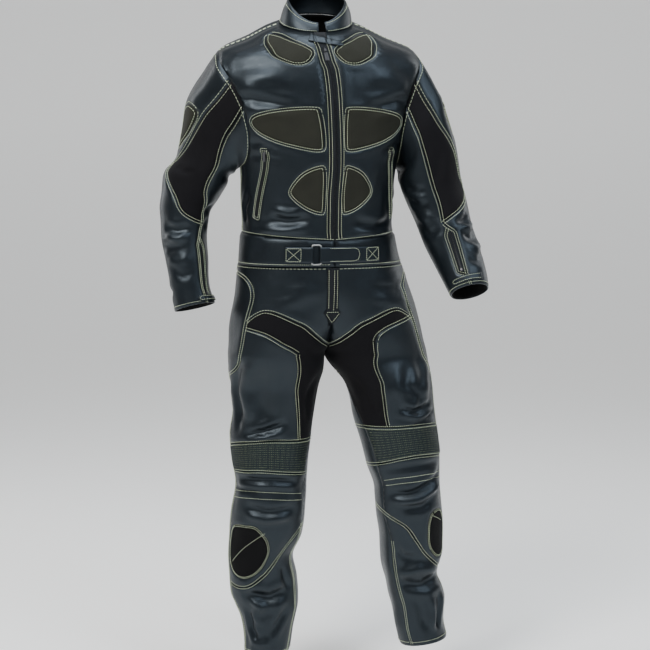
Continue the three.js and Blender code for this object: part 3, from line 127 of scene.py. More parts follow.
# Rings of the jacket body. z: height of the ring's centre. x: its centre. half: half width. front, back:
# depths. pitch: degrees that the front dips. turn: degrees that the ring turns. shift: degrees that the
# front middle lies further round. square: 2 is an ellipse, more is squarer.
BODY = Rings(
    ["z", "x", "half", "front", "back", "pitch", "turn", "shift", "square"],
    [
        [38.5, -0.5, 83, 76, 76, 19, 6, 1, 2.1],
        [27, -0.5, 113.5, 94, 90, 18, 6, 1, 2.1],
        [5, 0.5, 159, 110, 104, 15, 6, 2, 2.2],
        [-24, 1.5, 225, 119, 117, 11, 6, 2, 2.3],
        [-58, 2.5, 245, 126, 127, 7, 7, 2.5, 2.4],
        [-106.5, 2.5, 238.5, 132, 133, 3, 8, 3, 2.4],
        [-160, 2.5, 224.5, 136, 133, 0, 8.5, 3.5, 2.4],
        [-223.5, 3.5, 202, 137, 128, 0, 9.5, 4, 2.35],
        [-287.5, 4.5, 182, 134, 121, 0, 10, 4.5, 2.3],
        [-361.5, 2, 178.5, 129, 112, 0, 10, 4.5, 2.25],
        [-431, 2, 175.5, 126, 106, 0, 10, 4.5, 2.25],
        [-452.5, 3, 182, 127, 108, 0, 10, 4.5, 2.25],
        [-512.5, 8, 191, 129, 115, 0, 10, 3, 2.25],
    ],
)

# Rings of the hips, for one leg's tube. apart: how far its centre lies from the middle plane. in: half
# width towards the other leg.
HIP = Rings(
    ["z", "apart", "in", "front", "back"],
    [
        [-512.5, 0, 189, 124.5, 110.5],
        [-550.5, 18, 177.5, 123.5, 119.5],
        [-590.5, 42, 162.5, 121.5, 126.5],
        [-630.5, 68, 147, 119, 129],
        [-671, 92, 131, 115, 127],
        [-719.5, 116, 116, 108, 116],
    ],
)
HIP_EDGE = {
    "right": Rings(["z", "edge"], [[-512.5, -184], [-578.5, -190], [-638.5, -200], [-719.5, -207.5]]),
    "left": Rings(["z", "edge"], [[-512.5, 199], [-578.5, 222.5], [-638.5, 240.5], [-719.5, 261]]),
}

# The legs below the crotch. outer and inner: the two edges seen from the front. lean: degrees that the
# outer side lifts.
LEG_COLUMNS = ["z", "outer", "inner", "y", "front", "back", "lean"]
LEG = {
    "right": Rings(LEG_COLUMNS, [
        [-719.5, -207.5, 18, 0, 108, 116, 0],
        [-748.5, -207.5, 17, 0, 104, 108, 1],
        [-805.5, -201, 4.5, -4, 97, 96, 3],
        [-863.5, -196.5, -5, -8, 89, 87, 4],
        [-921, -204, -12, -12, 84, 80, 4],
        [-978.5, -199.5, -19.5, -16, 79, 73, 4],
        [-1037, -190.5, -24.5, -18, 73, 68, 3],
        [-1095, -200.5, -26.5, -16, 74, 67, 2],
        [-1153, -207, -34, -8, 72, 70, 2],
        [-1212.5, -211, -55.5, 0, 69, 74, 1],
        [-1271, -209, -46, 6, 67, 72, 0],
        [-1300.5, -206.5, -44, 6, 65, 70, 0],
        [-1331, -195, -44, 6, 62, 67, 0],
        [-1360.5, -183.5, -49.5, 5, 60, 64, 0],
        [-1399.5, -176.5, -57.5, 3, 58, 60, 0],
        [-1445, -173.5, -66, 0, 57, 57, 0],
    ]),
    "left": Rings(LEG_COLUMNS, [
        [-719.5, 261, 18, 0, 108, 116, 0],
        [-748.5, 265.5, 42, 0, 104, 108, 2],
        [-805.5, 273, 73.5, -2, 97, 96, 6],
        [-863.5, 278.5, 85.5, -4, 89, 87, 8],
        [-921, 286, 103.5, -6, 84, 80, 8],
        [-978.5, 292, 119, -6, 79, 74, 8],
        [-1037, 292.5, 138.5, -4, 73, 69, 8],
        [-1095, 297.5, 141.5, 0, 72, 68, 8],
        [-1153, 302.5, 150, 8, 70, 70, 7],
        [-1212.5, 303, 152.5, 16, 68, 73, 7],
        [-1271, 290, 166, 22, 66, 71, 7],
        [-1300.5, 301.5, 172, 23, 64, 69, 7],
        [-1331, 309, 180.5, 22, 62, 66, 8],
        [-1379.5, 306.5, 189, 20, 60, 62, 9],
        [-1424.5, 315, 201.5, 18, 58, 59, 9],
    ]),
}

# Rings of a sleeve, given down from the armhole in mm. lean: degrees that the ring's outer side lies
# above its inner side. pitch: degrees that its front lies above its back.
SLEEVE_COLUMNS = ["down", "x", "y", "z", "half", "depth", "lean", "pitch"]
SLEEVE = {
    "right": Rings(SLEEVE_COLUMNS, [
        [0, -202, -27, -155, 132, 84, 78, 0],
        [25, -222, -15, -181, 119, 82, 71, 0],
        [60, -245, -2, -213.5, 101, 76, 57, 0],
        [115, -253.5, -1, -257, 77, 70, 38, 0],
        [155, -264.5, -2, -290.5, 66, 68, 19, 2],
        [195, -280.5, -3, -318, 75, 67, 11, 4],
        [240, -294, -6, -359.5, 66.5, 64, 6, 6],
        [280, -305, -9, -395, 58.5, 61, 2, 8],
        [330, -306.5, -15, -442.5, 53, 56, -1, 9],
        [392, -299.5, -26, -502.5, 49, 51, -2, 10],
        [462, -291, -39, -570.5, 44.5, 46, -5, 11],
        [508, -280.5, -48, -612.5, 48, 43, -13, 12],
    ]),
    "left": Rings(SLEEVE_COLUMNS, [
        [0, 204.5, 28, -155, 132, 84, 81, 0],
        [25, 222, 20, -181, 119, 80, 74, 0],
        [60, 241, 8, -214, 98, 75, 64, 0],
        [115, 252, 4, -253, 82, 71, 46, 1],
        [155, 261, 3, -292.5, 76, 69, 28, 3],
        [205, 272.5, 0, -342.5, 69.5, 67, 19, 8],
        [258, 290.5, -10, -395, 64.5, 64, 19, 14],
        [315, 308, -27, -451.5, 59.5, 60, 20, 19],
        [375, 328.5, -50, -502.5, 54.5, 54, 20, 23],
        [430, 343, -74, -542.5, 50, 49, 18, 26],
        [468, 352, -92, -572.5, 44, 44, 13, 28],
    ]),
}


def smooth(value, low, high):
    t = np.clip((value - low) / (high - low), 0, 1)
    return t * t * (3 - 2 * t)


def columns(*parts):
    return np.stack(np.broadcast_arrays(*parts), axis=-1).astype(float)


# A point on a ring: around is in degrees from the front, positive towards the ring's outer side.
def ring_point(centre, outward, forward, out, inside, front, back, square, around):
    s = np.sin(np.radians(around))
    c = np.cos(np.radians(around))
    power = 2 / square
    across = np.sign(s) * np.abs(s) ** power * np.where(s > 0, out, inside)
    ahead = np.sign(c) * np.abs(c) ** power * np.where(c > 0, front, back)
    return centre + outward * across[..., None] + forward * ahead[..., None]


def body_point(u, z):
    u, z = np.broadcast_arrays(np.asarray(u, float), np.asarray(z, float))
    turn = np.radians(BODY("turn", z))
    pitch = np.radians(BODY("pitch", z))
    half = BODY("half", z)
    nothing = np.zeros_like(z)
    return ring_point(
        columns(BODY("x", z), nothing, z),
        columns(np.cos(turn), np.sin(turn), nothing),
        columns(np.sin(turn) * np.cos(pitch), -np.cos(turn) * np.cos(pitch), -np.sin(pitch)),
        half,
        half,
        BODY("front", z),
        BODY("back", z),
        BODY("square", z),
        u + BODY("shift", z),
    )


def leg_point(side, u, z):
    u, z = np.broadcast_arrays(np.asarray(u, float), np.asarray(z, float))
    sign = SIGN[side]
    above = z >= CROTCH
    settle = smooth(CROTCH - z, 0, CROTCH_TURN)
    step = smooth(CROTCH - z, 0, CROTCH_BLEND)
    turn = math.radians(MID_TURN) * (1 - settle)
    apart = HIP("apart", z)
    inner = LEG[side]("inner", z)
    outer = np.where(above, HIP_EDGE[side]("edge", z), LEG[side]("outer", z))
    hip_x = MID_X + sign * apart * np.cos(turn)
    x = hip_x * (1 - step) + (outer + inner) / 2 * step
    y = sign * apart * math.sin(math.radians(MID_TURN)) * (1 - settle) + np.where(above, 0, LEG[side]("y", z))
    lean = np.where(above, 0, np.radians(LEG[side]("lean", z)))
    inside = np.where(above, HIP("in", z), HIP("in", CROTCH) * (1 - step) + np.abs(inner - x) * step)
    return ring_point(
        columns(x, y, z),
        columns(sign * np.cos(turn) * np.cos(lean), sign * np.sin(turn) * np.cos(lean), np.sin(lean)),
        columns(np.sin(turn), -np.cos(turn), np.zeros_like(z)),
        np.abs(outer - x),
        inside,
        np.where(above, HIP("front", z), LEG[side]("front", z)),
        np.where(above, HIP("back", z), LEG[side]("back", z)),
        LEG_SQUARE,
        u,
    )


# The armhole's edge on the jacket body, by the sleeve's own angle.
def armhole_at(around):
    c = np.cos(np.radians(around))
    s = np.sin(np.radians(around))
    width = np.where(c > 0, ARMHOLE["front"], ARMHOLE["back"])
    return 90 - width * c, ARMHOLE["middle"] + ARMHOLE["rise"] * s


def sleeve_ring(side, u, down):
    read = SLEEVE[side]
    sign = SIGN[side]
    lean = np.radians(read("lean", down))
    pitch = np.radians(read("pitch", down))
    half = read("half", down)
    depth = read("depth", down)
    outward = columns(sign * np.cos(lean), 0, np.sin(lean))
    forward = columns(0, -np.cos(pitch), np.sin(pitch))
    forward = forward - outward * np.sum(forward * outward, axis=-1, keepdims=True)
    forward = forward / np.linalg.norm(forward, axis=-1, keepdims=True)
    centre = columns(read("x", down), read("y", down), read("z", down))
    return ring_point(centre, outward, forward, half, half, depth, depth, SLEEVE_SQUARE, u)


def sleeve_point(side, u, down):
    u, down = np.broadcast_arrays(np.asarray(u, float), np.asarray(down, float))
    share = 1 - smooth(down, 0, SLEEVE_BLEND)
    body_u, z = armhole_at(u)
    edge = body_point(SIGN[side] * body_u, z)
    first = sleeve_ring(side, u, np.zeros_like(down))
    return sleeve_ring(side, u, down) + (edge - first) * share[..., None]


# Seams: rows of [degrees around, height] or, on a sleeve, [degrees around, mm down].
def straight(*points):
    return np.array(points, float)


def curved(*points, ring=False):
    count = len(points)
    out = []
    for i in range(count - 1):
        picks = [i - 1, i, i + 1, i + 2]
        picks = [k % (count - 1) if ring else min(max(k, 0), count - 1) for k in picks]
        a, b, c, d = (np.array(points[k], float) for k in picks)
        for t in np.arange(8) / 8:
            out.append(b + 0.5 * t * (c - a + t * (2 * a - 5 * b + 4 * c - d + t * (3 * b - 3 * c + d - a))))
    out.append(np.array(points[-1], float))
    return np.array(out)


def closed(*points):
    return curved(*points, points[0], ring=True)


# The front middle of a leg's tube, above the crotch: where it meets the other leg's.
def mid_around(z):
    share = np.minimum(HIP("apart", z) / HIP("in", z), 1)
    return -np.degrees(np.arcsin(share ** (LEG_SQUARE / 2)))


# On the jacket body, for its left side. The right side is the same, mirrored.
PLACKET = 13  # mm from the front middle to the edge of the zip's strip
PLACKET_HEIGHTS = [38.5, 20, 0, -25, -60, -110, -170, -230, -300, -380, -456]
BODY_SEAMS = [
    closed(
        [66, 24], [56, 12], [36, -6], [22, -28], [13.5, -40], [7.8, -34], [6, -7], [12, 8], [24, 18],
        [46, 26],
    ),
    closed(
        [5.5, -169], [8.5, -157], [28, -162], [46, -175], [51, -192], [47, -212], [34, -232], [17, -247],
        [8, -251], [5.5, -240],
    ),
    closed(
        [6, -297], [9.5, -289], [20, -305], [28.5, -337], [27.5, -355], [18, -379], [8.5, -391.5],
        [5.8, -382],
    ),
    straight([44.5, -250], [50, -248], [66, -401], [59.5, -406], [44.5, -250]),
    straight([90, NECK], [90, -25]),
    straight([90, -285], [92, -360], [92, -438.5]),
    curved([0, -454], [30, -448], [70, -441], [120, -436], [180, -434]),
]

SLEEVE_SEAMS = {
    "right": [
        curved(
            [30, 0], [31, 44], [36, 82], [47, 128], [63, 153], [70, 168], [54, 203], [22, 250], [0, 287],
            [-27, 304], [-51, 310],
        ),
        curved([0, 0], [-5, 47], [-9, 104], [-21, 156], [-30, 222], [-47, 262], [-51, 310]),
        closed(
            [44, 62], [62, 62], [82, 74], [97, 88], [100, 105], [92, 125], [78, 135], [62, 124],
            [50, 106], [43, 80],
        ),
        curved([70, 168], [110, 176], [150, 180], [190, 180]),
        straight([-51, 310], [-45, 345], [-38, 365], [-43, 490], [-43, 508]),
        straight([-45, 345], [-58, 368], [-61, 490], [-43, 490]),
    ],
    "left": [
        curved(
            [30, 0], [27, 33], [35, 89], [55, 150], [66, 198], [80, 222], [66, 252], [34, 277],
            [-5, 293],
        ),
        curved([0, 0], [-7, 62], [-3, 157], [-1, 234], [-5, 293]),
        closed(
            [58, 66], [76, 64], [94, 74], [107, 88], [110, 105], [102, 122], [90, 130], [76, 122],
            [64, 106], [57, 84],
        ),
        curved([80, 222], [115, 222], [150, 218], [190, 212]),
        straight([-5, 293], [2, 306], [14, 322], [4, 442], [5, 468]),
        straight([2, 306], [-8, 324], [-16, 428], [4, 442]),
    ],
}
SLEEVE_LENGTH = {"right": 508, "left": 468}

# The seams that both legs share, then each leg's own.
HIP_SEAMS = [
    straight([95, TROUSER_TOP], [95, -531]),
    closed(
        [95, -531], [72, -538], [60, -555], [54, -580], [53, -613], [53.5, -647], [53, -700], [56, -740],
        [66, -765], [85, -777], [105, -770], [119, -742], [125, -690], [126, -613], [121, -562],
        [110, -538],
    ),
    curved(
        [53.5, -643], [46, -627], [36, -615], [22, -621], [-2, -645], [-20, -668], [-40, -688],
        [mid_around(-700), -700],
    ),
    curved([105, -770], [150, -788], [200, -782], [240, -768], [290, -760]),
]
LEG_SEAMS = {
    "right": [
        curved([53, -656], [27, -668], [1, -695], [-16, -713]),
        curved([-16, -713], [-25, -768], [-34, -840], [-44, -918]),
        curved(
            [85, -777], [82, -850], [78, -945], [76, -1004], [76, -1120], [70, -1274], [62, -1374],
            [65, -1445],
        ),
        curved([78, -945], [40, -932], [-1, -920], [-44, -918], [-90, -917]),
        curved([76, -1004], [40, -998], [-1, -992], [-69, -998], [-90, -1000]),
        curved(
            [-77, -1120], [-58, -1142], [-43, -1165], [-30, -1207], [-2, -1251], [19, -1274],
            [41, -1281], [70, -1274],
        ),
        closed(
            [56, -1131], [34, -1127], [12, -1131], [-6, -1165], [-12, -1201], [4, -1240], [28, -1257],
            [50, -1250], [63, -1225], [67, -1180], [65, -1145],
        ),
    ],
    "left": [
        curved([53.5, -633], [22, -652], [6, -670], [0, -687]),
        curved([0, -687], [-6, -732], [-9, -802], [-10, -887]),
        curved(
            [85, -777], [84, -850], [84, -906], [86, -978], [92, -1120], [92, -1254], [88, -1340],
            [84, -1424.5],
        ),
        curved([84, -906], [44, -896], [-10, -887], [-46, -881], [-90, -880]),
        curved([86, -978], [40, -966], [6, -962], [-46, -970], [-90, -974]),
        curved(
            [-81, -1072], [-60, -1082], [-37, -1099], [-9, -1127], [6, -1166], [25, -1207], [55, -1238],
            [92, -1254],
        ),
        closed(
            [44, -1106], [34, -1120], [29, -1146], [31, -1186], [45, -1212], [62, -1219], [76, -1205],
            [82, -1160], [76, -1118], [62, -1103],
        ),
    ],
}
# Where a leg's tube is cut open: the inseam, which below the knee is the seam inside the shin.
INSEAM = {
    "right": Rings(
        ["z", "around"],
        [[-719.5, -90], [-860, -80], [-920, -73], [-1000, -70], [-1120, -72], [-1221, -69], [-1445, -66]],
    ),
    "left": Rings(
        ["z", "around"],
        [[-719.5, -90], [-800, -75], [-880, -50], [-974, -46], [-1072, -50], [-1190, -38], [-1424.5, -33]],
    ),
}
HEM = {"right": -1445, "left": -1424.5}


def mirrored(line):
    return line * np.array([-1, 1])


def both_sides(lines):
    return lines + [mirrored(line) for line in lines]


# The angle around the body at a distance across from the front middle, in mm.
def aside(mm, z):
    power = BODY("square", z) / 2
    shift = BODY("shift", z)
    to = np.sin(np.radians(shift)) ** (1 / power) + mm / BODY("half", z)
    return np.degrees(np.arcsin(np.sign(to) * np.abs(to) ** power)) - shift


def cumulative(points):
    steps = np.linalg.norm(np.diff(points, axis=0), axis=1)
    return np.concatenate([[0], np.cumsum(steps)])


# Values along a line, read at some lengths of its run.
def read_along(values, run, at):
    return np.stack([np.interp(at, run, column) for column in values.T], axis=1)


# Points at even distances along a line.
def evenly(points, step):
    run = cumulative(points)
    count = max(1, int(round(run[-1] / step)))
    return read_along(points, run, np.linspace(0, run[-1], count + 1))


def unit(vectors):
    return vectors / np.maximum(np.linalg.norm(vectors, axis=-1, keepdims=True), 1e-9)


# The distance in the flat from each point to the nearest of some lines.
def nearness(points, lines, step):
    dense = [evenly(line, step) for line in lines]
    count = sum(len(line) for line in dense)
    tree = kdtree.KDTree(count)
    i = 0
    for line in dense:
        for x, y in line:
            tree.insert((x, y, 0), i)
            i += 1
    tree.balance()
    return np.array([tree.find((x, y, 0))[2] for x, y in points])


# A seam drawn on past both ends, so that it crosses the seam it was meant to stop at.
def drawn_on(line, mm):
    if np.allclose(line[0], line[-1]):
        return line
    before = line[0] - unit(line[1] - line[0]) * mm
    after = line[-1] + unit(line[-1] - line[-2]) * mm
    return np.concatenate([[before], line, [after]])


# The skin's relief, in mm. A seam lies in a valley between two soft shoulders.
FOLD_DEPTH = 1.45
SEAM_VALLEY = {"deep": 1.3, "wide": 2.4}
SEAM_SHOULDER = {"high": 0.9, "away": 8, "wide": 5}
WAVES = {"high": 2.4, "across": 46, "along": 60, "calm": 25}
TUBE_END = 9


# One tube of the suit, laid flat as [degrees around, height] and scaled to about true mm. Its seams cut
# it into panels. place gives a point of the plain surface, inside the tube's middle at that height.
class Tube:
    def __init__(self, scale, place, inside, border, seams, seeds, folds=(), pleats=None):
        self.scale = np.array(scale, float)
        self.place = place
        self.inside = inside
        self.border = [self.flat(line) for line in border]
        self.seams = [self.flat(line) for line in seams]
        self.seeds = seeds
        self.folds = folds
        self.pleats = pleats
        self.sides = None

    def flat(self, points):
        return np.asarray(points, float) * self.scale

    def normal(self, uv):
        u, v = uv[:, 0], uv[:, 1]
        across = self.place(u + 0.4, v) - self.place(u - 0.4, v)
        along = self.place(u, v + 1) - self.place(u, v - 1)
        normal = unit(np.cross(across, along))
        away = self.place(u, v) - self.inside(u, v)
        return normal * np.where(np.sum(normal * away, axis=1) < 0, -1, 1)[:, None]

    # Heights in mm above the plain surface: folds, a valley at each seam, and the leather's own waves.
    def relief(self, flat):
        height = np.zeros(len(flat))
        for line, wide, high in self.folds:
            line = self.flat(line)
            high = high * FOLD_DEPTH
            run = cumulative(line)
            dense = evenly(line, 5)
            gap = np.full(len(flat), 1e9)
            share = np.zeros(len(flat))
            for i, spot in enumerate(dense):
                far = np.hypot(flat[:, 0] - spot[0], flat[:, 1] - spot[1])
                closer = far < gap
                gap[closer] = far[closer]
                share[closer] = i / max(1, len(dense) - 1)
            taper = smooth(4 * share * (1 - share), 0, 0.9)
            wave = np.exp(-((gap / wide) ** 2))
            beside = np.exp(-(((gap - 1.9 * wide) / wide) ** 2))
            height += high * (wave - 0.35 * beside) * taper
        gap = nearness(flat, self.seams, 3)
        height -= SEAM_VALLEY["deep"] * np.exp(-((gap / SEAM_VALLEY["wide"]) ** 2))
        away = (gap - SEAM_SHOULDER["away"]) / SEAM_SHOULDER["wide"]
        height += SEAM_SHOULDER["high"] * np.exp(-(away**2))
        for i, (x, y) in enumerate(flat):
            calm = min(1, gap[i] / WAVES["calm"])
            place = Vector((x / WAVES["across"], y / WAVES["along"], 3.7))
            height[i] += calm * WAVES["high"] * noise.noise(place)
        return height

    def points(self, uv, out=0.0):
        base = self.place(uv[:, 0], uv[:, 1])
        return base + self.normal(uv) * np.broadcast_to(out, len(uv))[:, None]

    # Points on the finished outer skin, for what lies or is sewn on it.
    def skin(self, uv, out=0.0):
        return self.points(uv, self.height(self.flat(uv)) + out)

    def height(self, flat):
        height = self.relief(flat)
        if self.pleats:
            height += self.pleats(flat / self.scale)
        # At the tube's own ends the skin comes back to where its neighbour starts.
        gap = nearness(flat, self.border, 4)
        return height * np.minimum(1, gap / TUBE_END)

    # Whether points lie on the sheet at all: its edges can bend in, as a leg's do above the crotch.
    def holds(self, uv):
        if self.sides is None:
            return np.ones(len(uv), bool)
        low, high, left, right = self.sides(uv[:, 1])
        return (uv[:, 1] > low) & (uv[:, 1] < high) & (uv[:, 0] > left) & (uv[:, 0] < right)

    def grid(self, step):
        edge = np.concatenate(self.border)
        low, high = edge.min(axis=0), edge.max(axis=0)
        rows = np.arange(low[1] + step / 2, high[1], step * 0.9)
        out = []
        for i, y in enumerate(rows):
            x = np.arange(low[0] + (i % 2) * step / 2, high[0], step)
            out.append(np.stack([x, np.full(len(x), y)], axis=1))
        out = np.concatenate(out)
        if self.pleats:
            out = np.concatenate([out, self.pleats.rows(self.scale)])
        far = nearness(out, self.border + self.seams, 2.5)
        return out[far > (2.2 if self.pleats else step * 0.55)]

    def panels(self, step):
        spots = []
        edges = []
        for line in self.border + [drawn_on(seam, 3.5) for seam in self.seams]:
            line = evenly(line, step * 0.8)
            start = len(spots)
            spots.extend(map(tuple, line))
            edges.extend((start + i, start + i + 1) for i in range(len(line) - 1))
        spots.extend(map(tuple, self.grid(step)))
        made = delaunay_2d_cdt([Vector(spot) for spot in spots], edges, [], 0, 0.4)
        flat = np.array([tuple(spot) for spot in made[0]])
        seams = {tuple(sorted(edge)) for edge, source in zip(made[1], made[4]) if source}
        faces = [tuple(face) for face in made[2] if len(face) == 3]
        beside = {}
        for f, face in enumerate(faces):
            for k in range(3):
                beside.setdefault(tuple(sorted((face[k], face[(k + 1) % 3]))), []).append(f)
        corners = flat[np.array(faces)]
        middles = corners.mean(axis=1)
        held = self.holds(middles / self.scale)
        owner = {}
        panels = {}
        for name, seed in self.seeds.items():
            seed = self.flat([seed])[0]
            start = int(np.argmin(np.hypot(*(middles - seed).T)))
            todo = [start]
            owner[start] = name
            for f in todo:
                face = faces[f]
                for k in range(3):
                    key = tuple(sorted((face[k], face[(k + 1) % 3])))
                    if key in seams:
                        continue
                    for other in beside[key]:
                        if other not in owner and held[other]:
                            owner[other] = name
                            todo.append(other)
            panels[name] = [faces[f] for f in todo]
        uv = flat / self.scale
        height = self.height(flat)
        outer = self.points(uv, height)
        inner = self.points(uv, np.minimum(height, 0) - WALL)
        return {name: (outer, inner, faces) for name, faces in panels.items()}


def mesh_piece(name, spots, faces, smooth_faces=True):
    mesh = bpy.data.meshes.new(name)
    mesh.from_pydata([tuple(spot) for spot in np.asarray(spots) * MM], [], faces)
    mesh.validate()
    mesh.update()
    if smooth_faces:
        mesh.polygons.foreach_set("use_smooth", [True] * len(mesh.polygons))
    piece = bpy.data.objects.new(name, mesh)
    bpy.context.scene.collection.objects.link(piece)
    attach(piece, "suit")
    return piece


lining_faces = {}


# A panel as a wall: its outer skin, its lining and the cut edge between them.
def panel_piece(name, outer, inner, faces):
    used = sorted({n for face in faces for n in face})
    at = {n: i for i, n in enumerate(used)}
    count = len(used)
    p, q, r = outer[list(faces[0])]
    way = np.cross(q - p, r - p)
    out = outer[faces[0][0]] - inner[faces[0][0]]
    turned = np.dot(way, out) < 0
    skin = [tuple(at[n] for n in (reversed(face) if turned else face)) for face in faces]
    lining = [tuple(count + n for n in reversed(face)) for face in skin]
    sides = {(face[k], face[(k + 1) % 3]) for face in skin for k in range(3)}
    rim = [(b, a, a + count, b + count) for a, b in sides if (b, a) not in sides]
    piece = mesh_piece(name, np.concatenate([outer[used], inner[used]]), skin + lining + rim)
    lining_faces[name] = range(len(skin), 2 * len(skin))
    # The rim's points are marked so that the leather's colour darkens there: painted shade in the seams'
    # creases.
    mark = piece.data.attributes.new("seam_edge", "FLOAT", "POINT")
    rim_points = {n % count for face in rim for n in face}
    mark.data.foreach_set("value", [1.0 if n % count in rim_points else 0.0 for n in range(2 * count)])
    return piece


# The ribs of a knee's pleats, between the panel's top and bottom seams.
class Pleats:
    def __init__(self, side):
        self.top = LEG_SEAMS[side][3][::-1]
        self.bottom = LEG_SEAMS[side][4][::-1]
        self.outer = LEG_SEAMS[side][2][::-1]
        self.side = side
        self.ribs = 14

    def ends(self, u):
        top = np.interp(u, self.top[:, 0], self.top[:, 1])
        bottom = np.interp(u, self.bottom[:, 0], self.bottom[:, 1])
        return top, bottom

    def reach(self, v):
        return INSEAM[self.side]("around", v), np.interp(v, self.outer[:, 1], self.outer[:, 0])

    # Heights in mm of the ribs.
    def __call__(self, uv):
        u, v = uv[:, 0], uv[:, 1]
        top, bottom = self.ends(u)
        t = (v - top) / (bottom - top)
        left, right = self.reach(v)
        sides = np.clip(np.minimum(u - left, right - u) * 1.5 / 7, 0, 1)
        inside = (t > 0) & (t < 1)
        rib = np.abs(np.sin(math.pi * self.ribs * np.clip(t, 0, 1))) ** 0.75
        return np.where(inside, 2.5 * rib * sides, 0)

    # Points for the panel's mesh, four rows to a rib.
    def rows(self, scale):
        out = []
        us = np.arange(-89, 88, 2.6)
        top, bottom = self.ends(us)
        for i in range(1, self.ribs * 4):
            v = top + (bottom - top) * i / (self.ribs * 4)
            left, right = self.reach(v)
            shifted = us + (i % 2) * 1.3
            keep = (shifted > left + 1) & (shifted < right - 1)
            out.append(np.stack([shifted[keep], v[keep]], axis=1) * scale)
        return np.concatenate(out)

    def thread_lines(self):
        us = np.linspace(-88, 88, 60)
        top, bottom = self.ends(us)
        lines = []
        for i in range(1, self.ribs):
            v = top + (bottom - top) * i / self.ribs
            left, right = self.reach(v)
            keep = (us > left + 3) & (us < right - 3)
            lines.append(np.stack([us[keep], v[keep]], axis=1))
        return lines


# Folds: points as in the seams, then half width and height in mm. Below zero is a trough.
BODY_FOLDS = [
    ([[-62, -142], [-45, -133], [-25, -148], [-13, -160]], 13, -5),
    ([[57, -146], [42, -138], [25, -152], [13, -160]], 13, -4.5),
    ([[-52, -112], [-32, -82], [-16, -66]], 24, 4),
    ([[50, -112], [32, -86], [16, -66]], 24, 3.5),
    ([[-70, -60], [-40, -50], [-20, -62]], 16, -2.5),
    ([[-66, -238], [-50, -236], [-34, -258]], 8, -3.5),
    ([[-68, -262], [-50, -262], [-34, -275]], 8, -2.5),
    ([[64, -242], [52, -240], [36, -256]], 8, -3),
    ([[-50, -402], [-30, -412], [-12, -402]], 10, -4.5),
    ([[-62, -428], [-36, -432], [-14, -424]], 9, 4),
    ([[-44, -384], [-28, -392], [-20, -388]], 8, 3),
    ([[14, -412], [36, -424], [58, -416]], 10, -4.5),
    ([[12, -432], [40, -438], [62, -430]], 8, 3.5),
    ([[70, -350], [82, -380], [80, -420]], 9, -3.5),
    ([[-70, -350], [-82, -380], [-80, -420]], 9, -3.5),
    ([[104, -378], [140, -394], [172, -386]], 12, -5),
    ([[-104, -382], [-140, -396], [-172, -386]], 12, -5),
    ([[110, -408], [150, -418], [174, -414]], 10, 4),
    ([[-110, -408], [-150, -418], [-174, -414]], 10, 4),
    ([[118, -180], [140, -240], [160, -300]], 20, -4),
    ([[-118, -180], [-140, -240], [-160, -300]], 20, -4),
    ([[126, -100], [150, -130], [172, -140]], 22, 3.5),
    ([[-126, -100], [-150, -130], [-172, -140]], 22, 3.5),
]
SLEEVE_FOLDS = {
    "right": [
        ([[-80, 262], [-62, 272], [-56, 290]], 8, -3.5),
        ([[-78, 300], [-64, 312], [-58, 330]], 8, -3),
        ([[-24, 322], [10, 330], [50, 318]], 9, -4.5),
        ([[-20, 342], [14, 350], [54, 340]], 9, 4),
        ([[0, 366], [40, 372], [80, 360]], 8, -3.5),
        ([[-18, 392], [20, 404], [60, 396]], 9, 3),
        ([[-20, 428], [10, 436], [40, 430]], 8, -2.5),
        ([[60, 462], [90, 470], [120, 460]], 8, -2.5),
        ([[110, 210], [140, 220], [176, 214]], 10, -4),
        ([[100, 250], [140, 262], [180, 250]], 10, 4),
        ([[110, 300], [140, 310], [178, 300]], 10, -4),
        ([[60, 20], [80, 40], [110, 44]], 14, -2.5),
        ([[20, 90], [10, 140], [0, 180]], 10, -2),
        ([[50, 165], [30, 180], [6, 184]], 8, -2.5),
        ([[210, 180], [230, 190], [256, 184]], 9, -3),
    ],
    "left": [
        ([[-60, 180], [-36, 200], [-14, 206]], 9, -3.5),
        ([[-64, 214], [-40, 236], [-16, 240]], 9, -3.5),
        ([[-70, 250], [-44, 268], [-18, 270]], 9, 3),
        ([[-60, 296], [-36, 306], [-14, 300]], 8, -3),
        ([[20, 296], [44, 300], [70, 284]], 8, -5),
        ([[24, 312], [50, 318], [76, 304]], 8, 4),
        ([[30, 336], [56, 344], [84, 330]], 9, -4),
        ([[30, 362], [60, 372], [90, 356]], 9, 3),
        ([[20, 400], [46, 408], [76, 396]], 9, -2.5),
        ([[100, 250], [140, 258], [180, 246]], 10, -4),
        ([[100, 286], [140, 296], [180, 284]], 10, 4),
        ([[62, 20], [82, 40], [112, 44]], 14, -2.5),
        ([[26, 120], [16, 160], [6, 200]], 10, -2),
        ([[210, 200], [230, 212], [256, 204]], 9, -3),
    ],
}
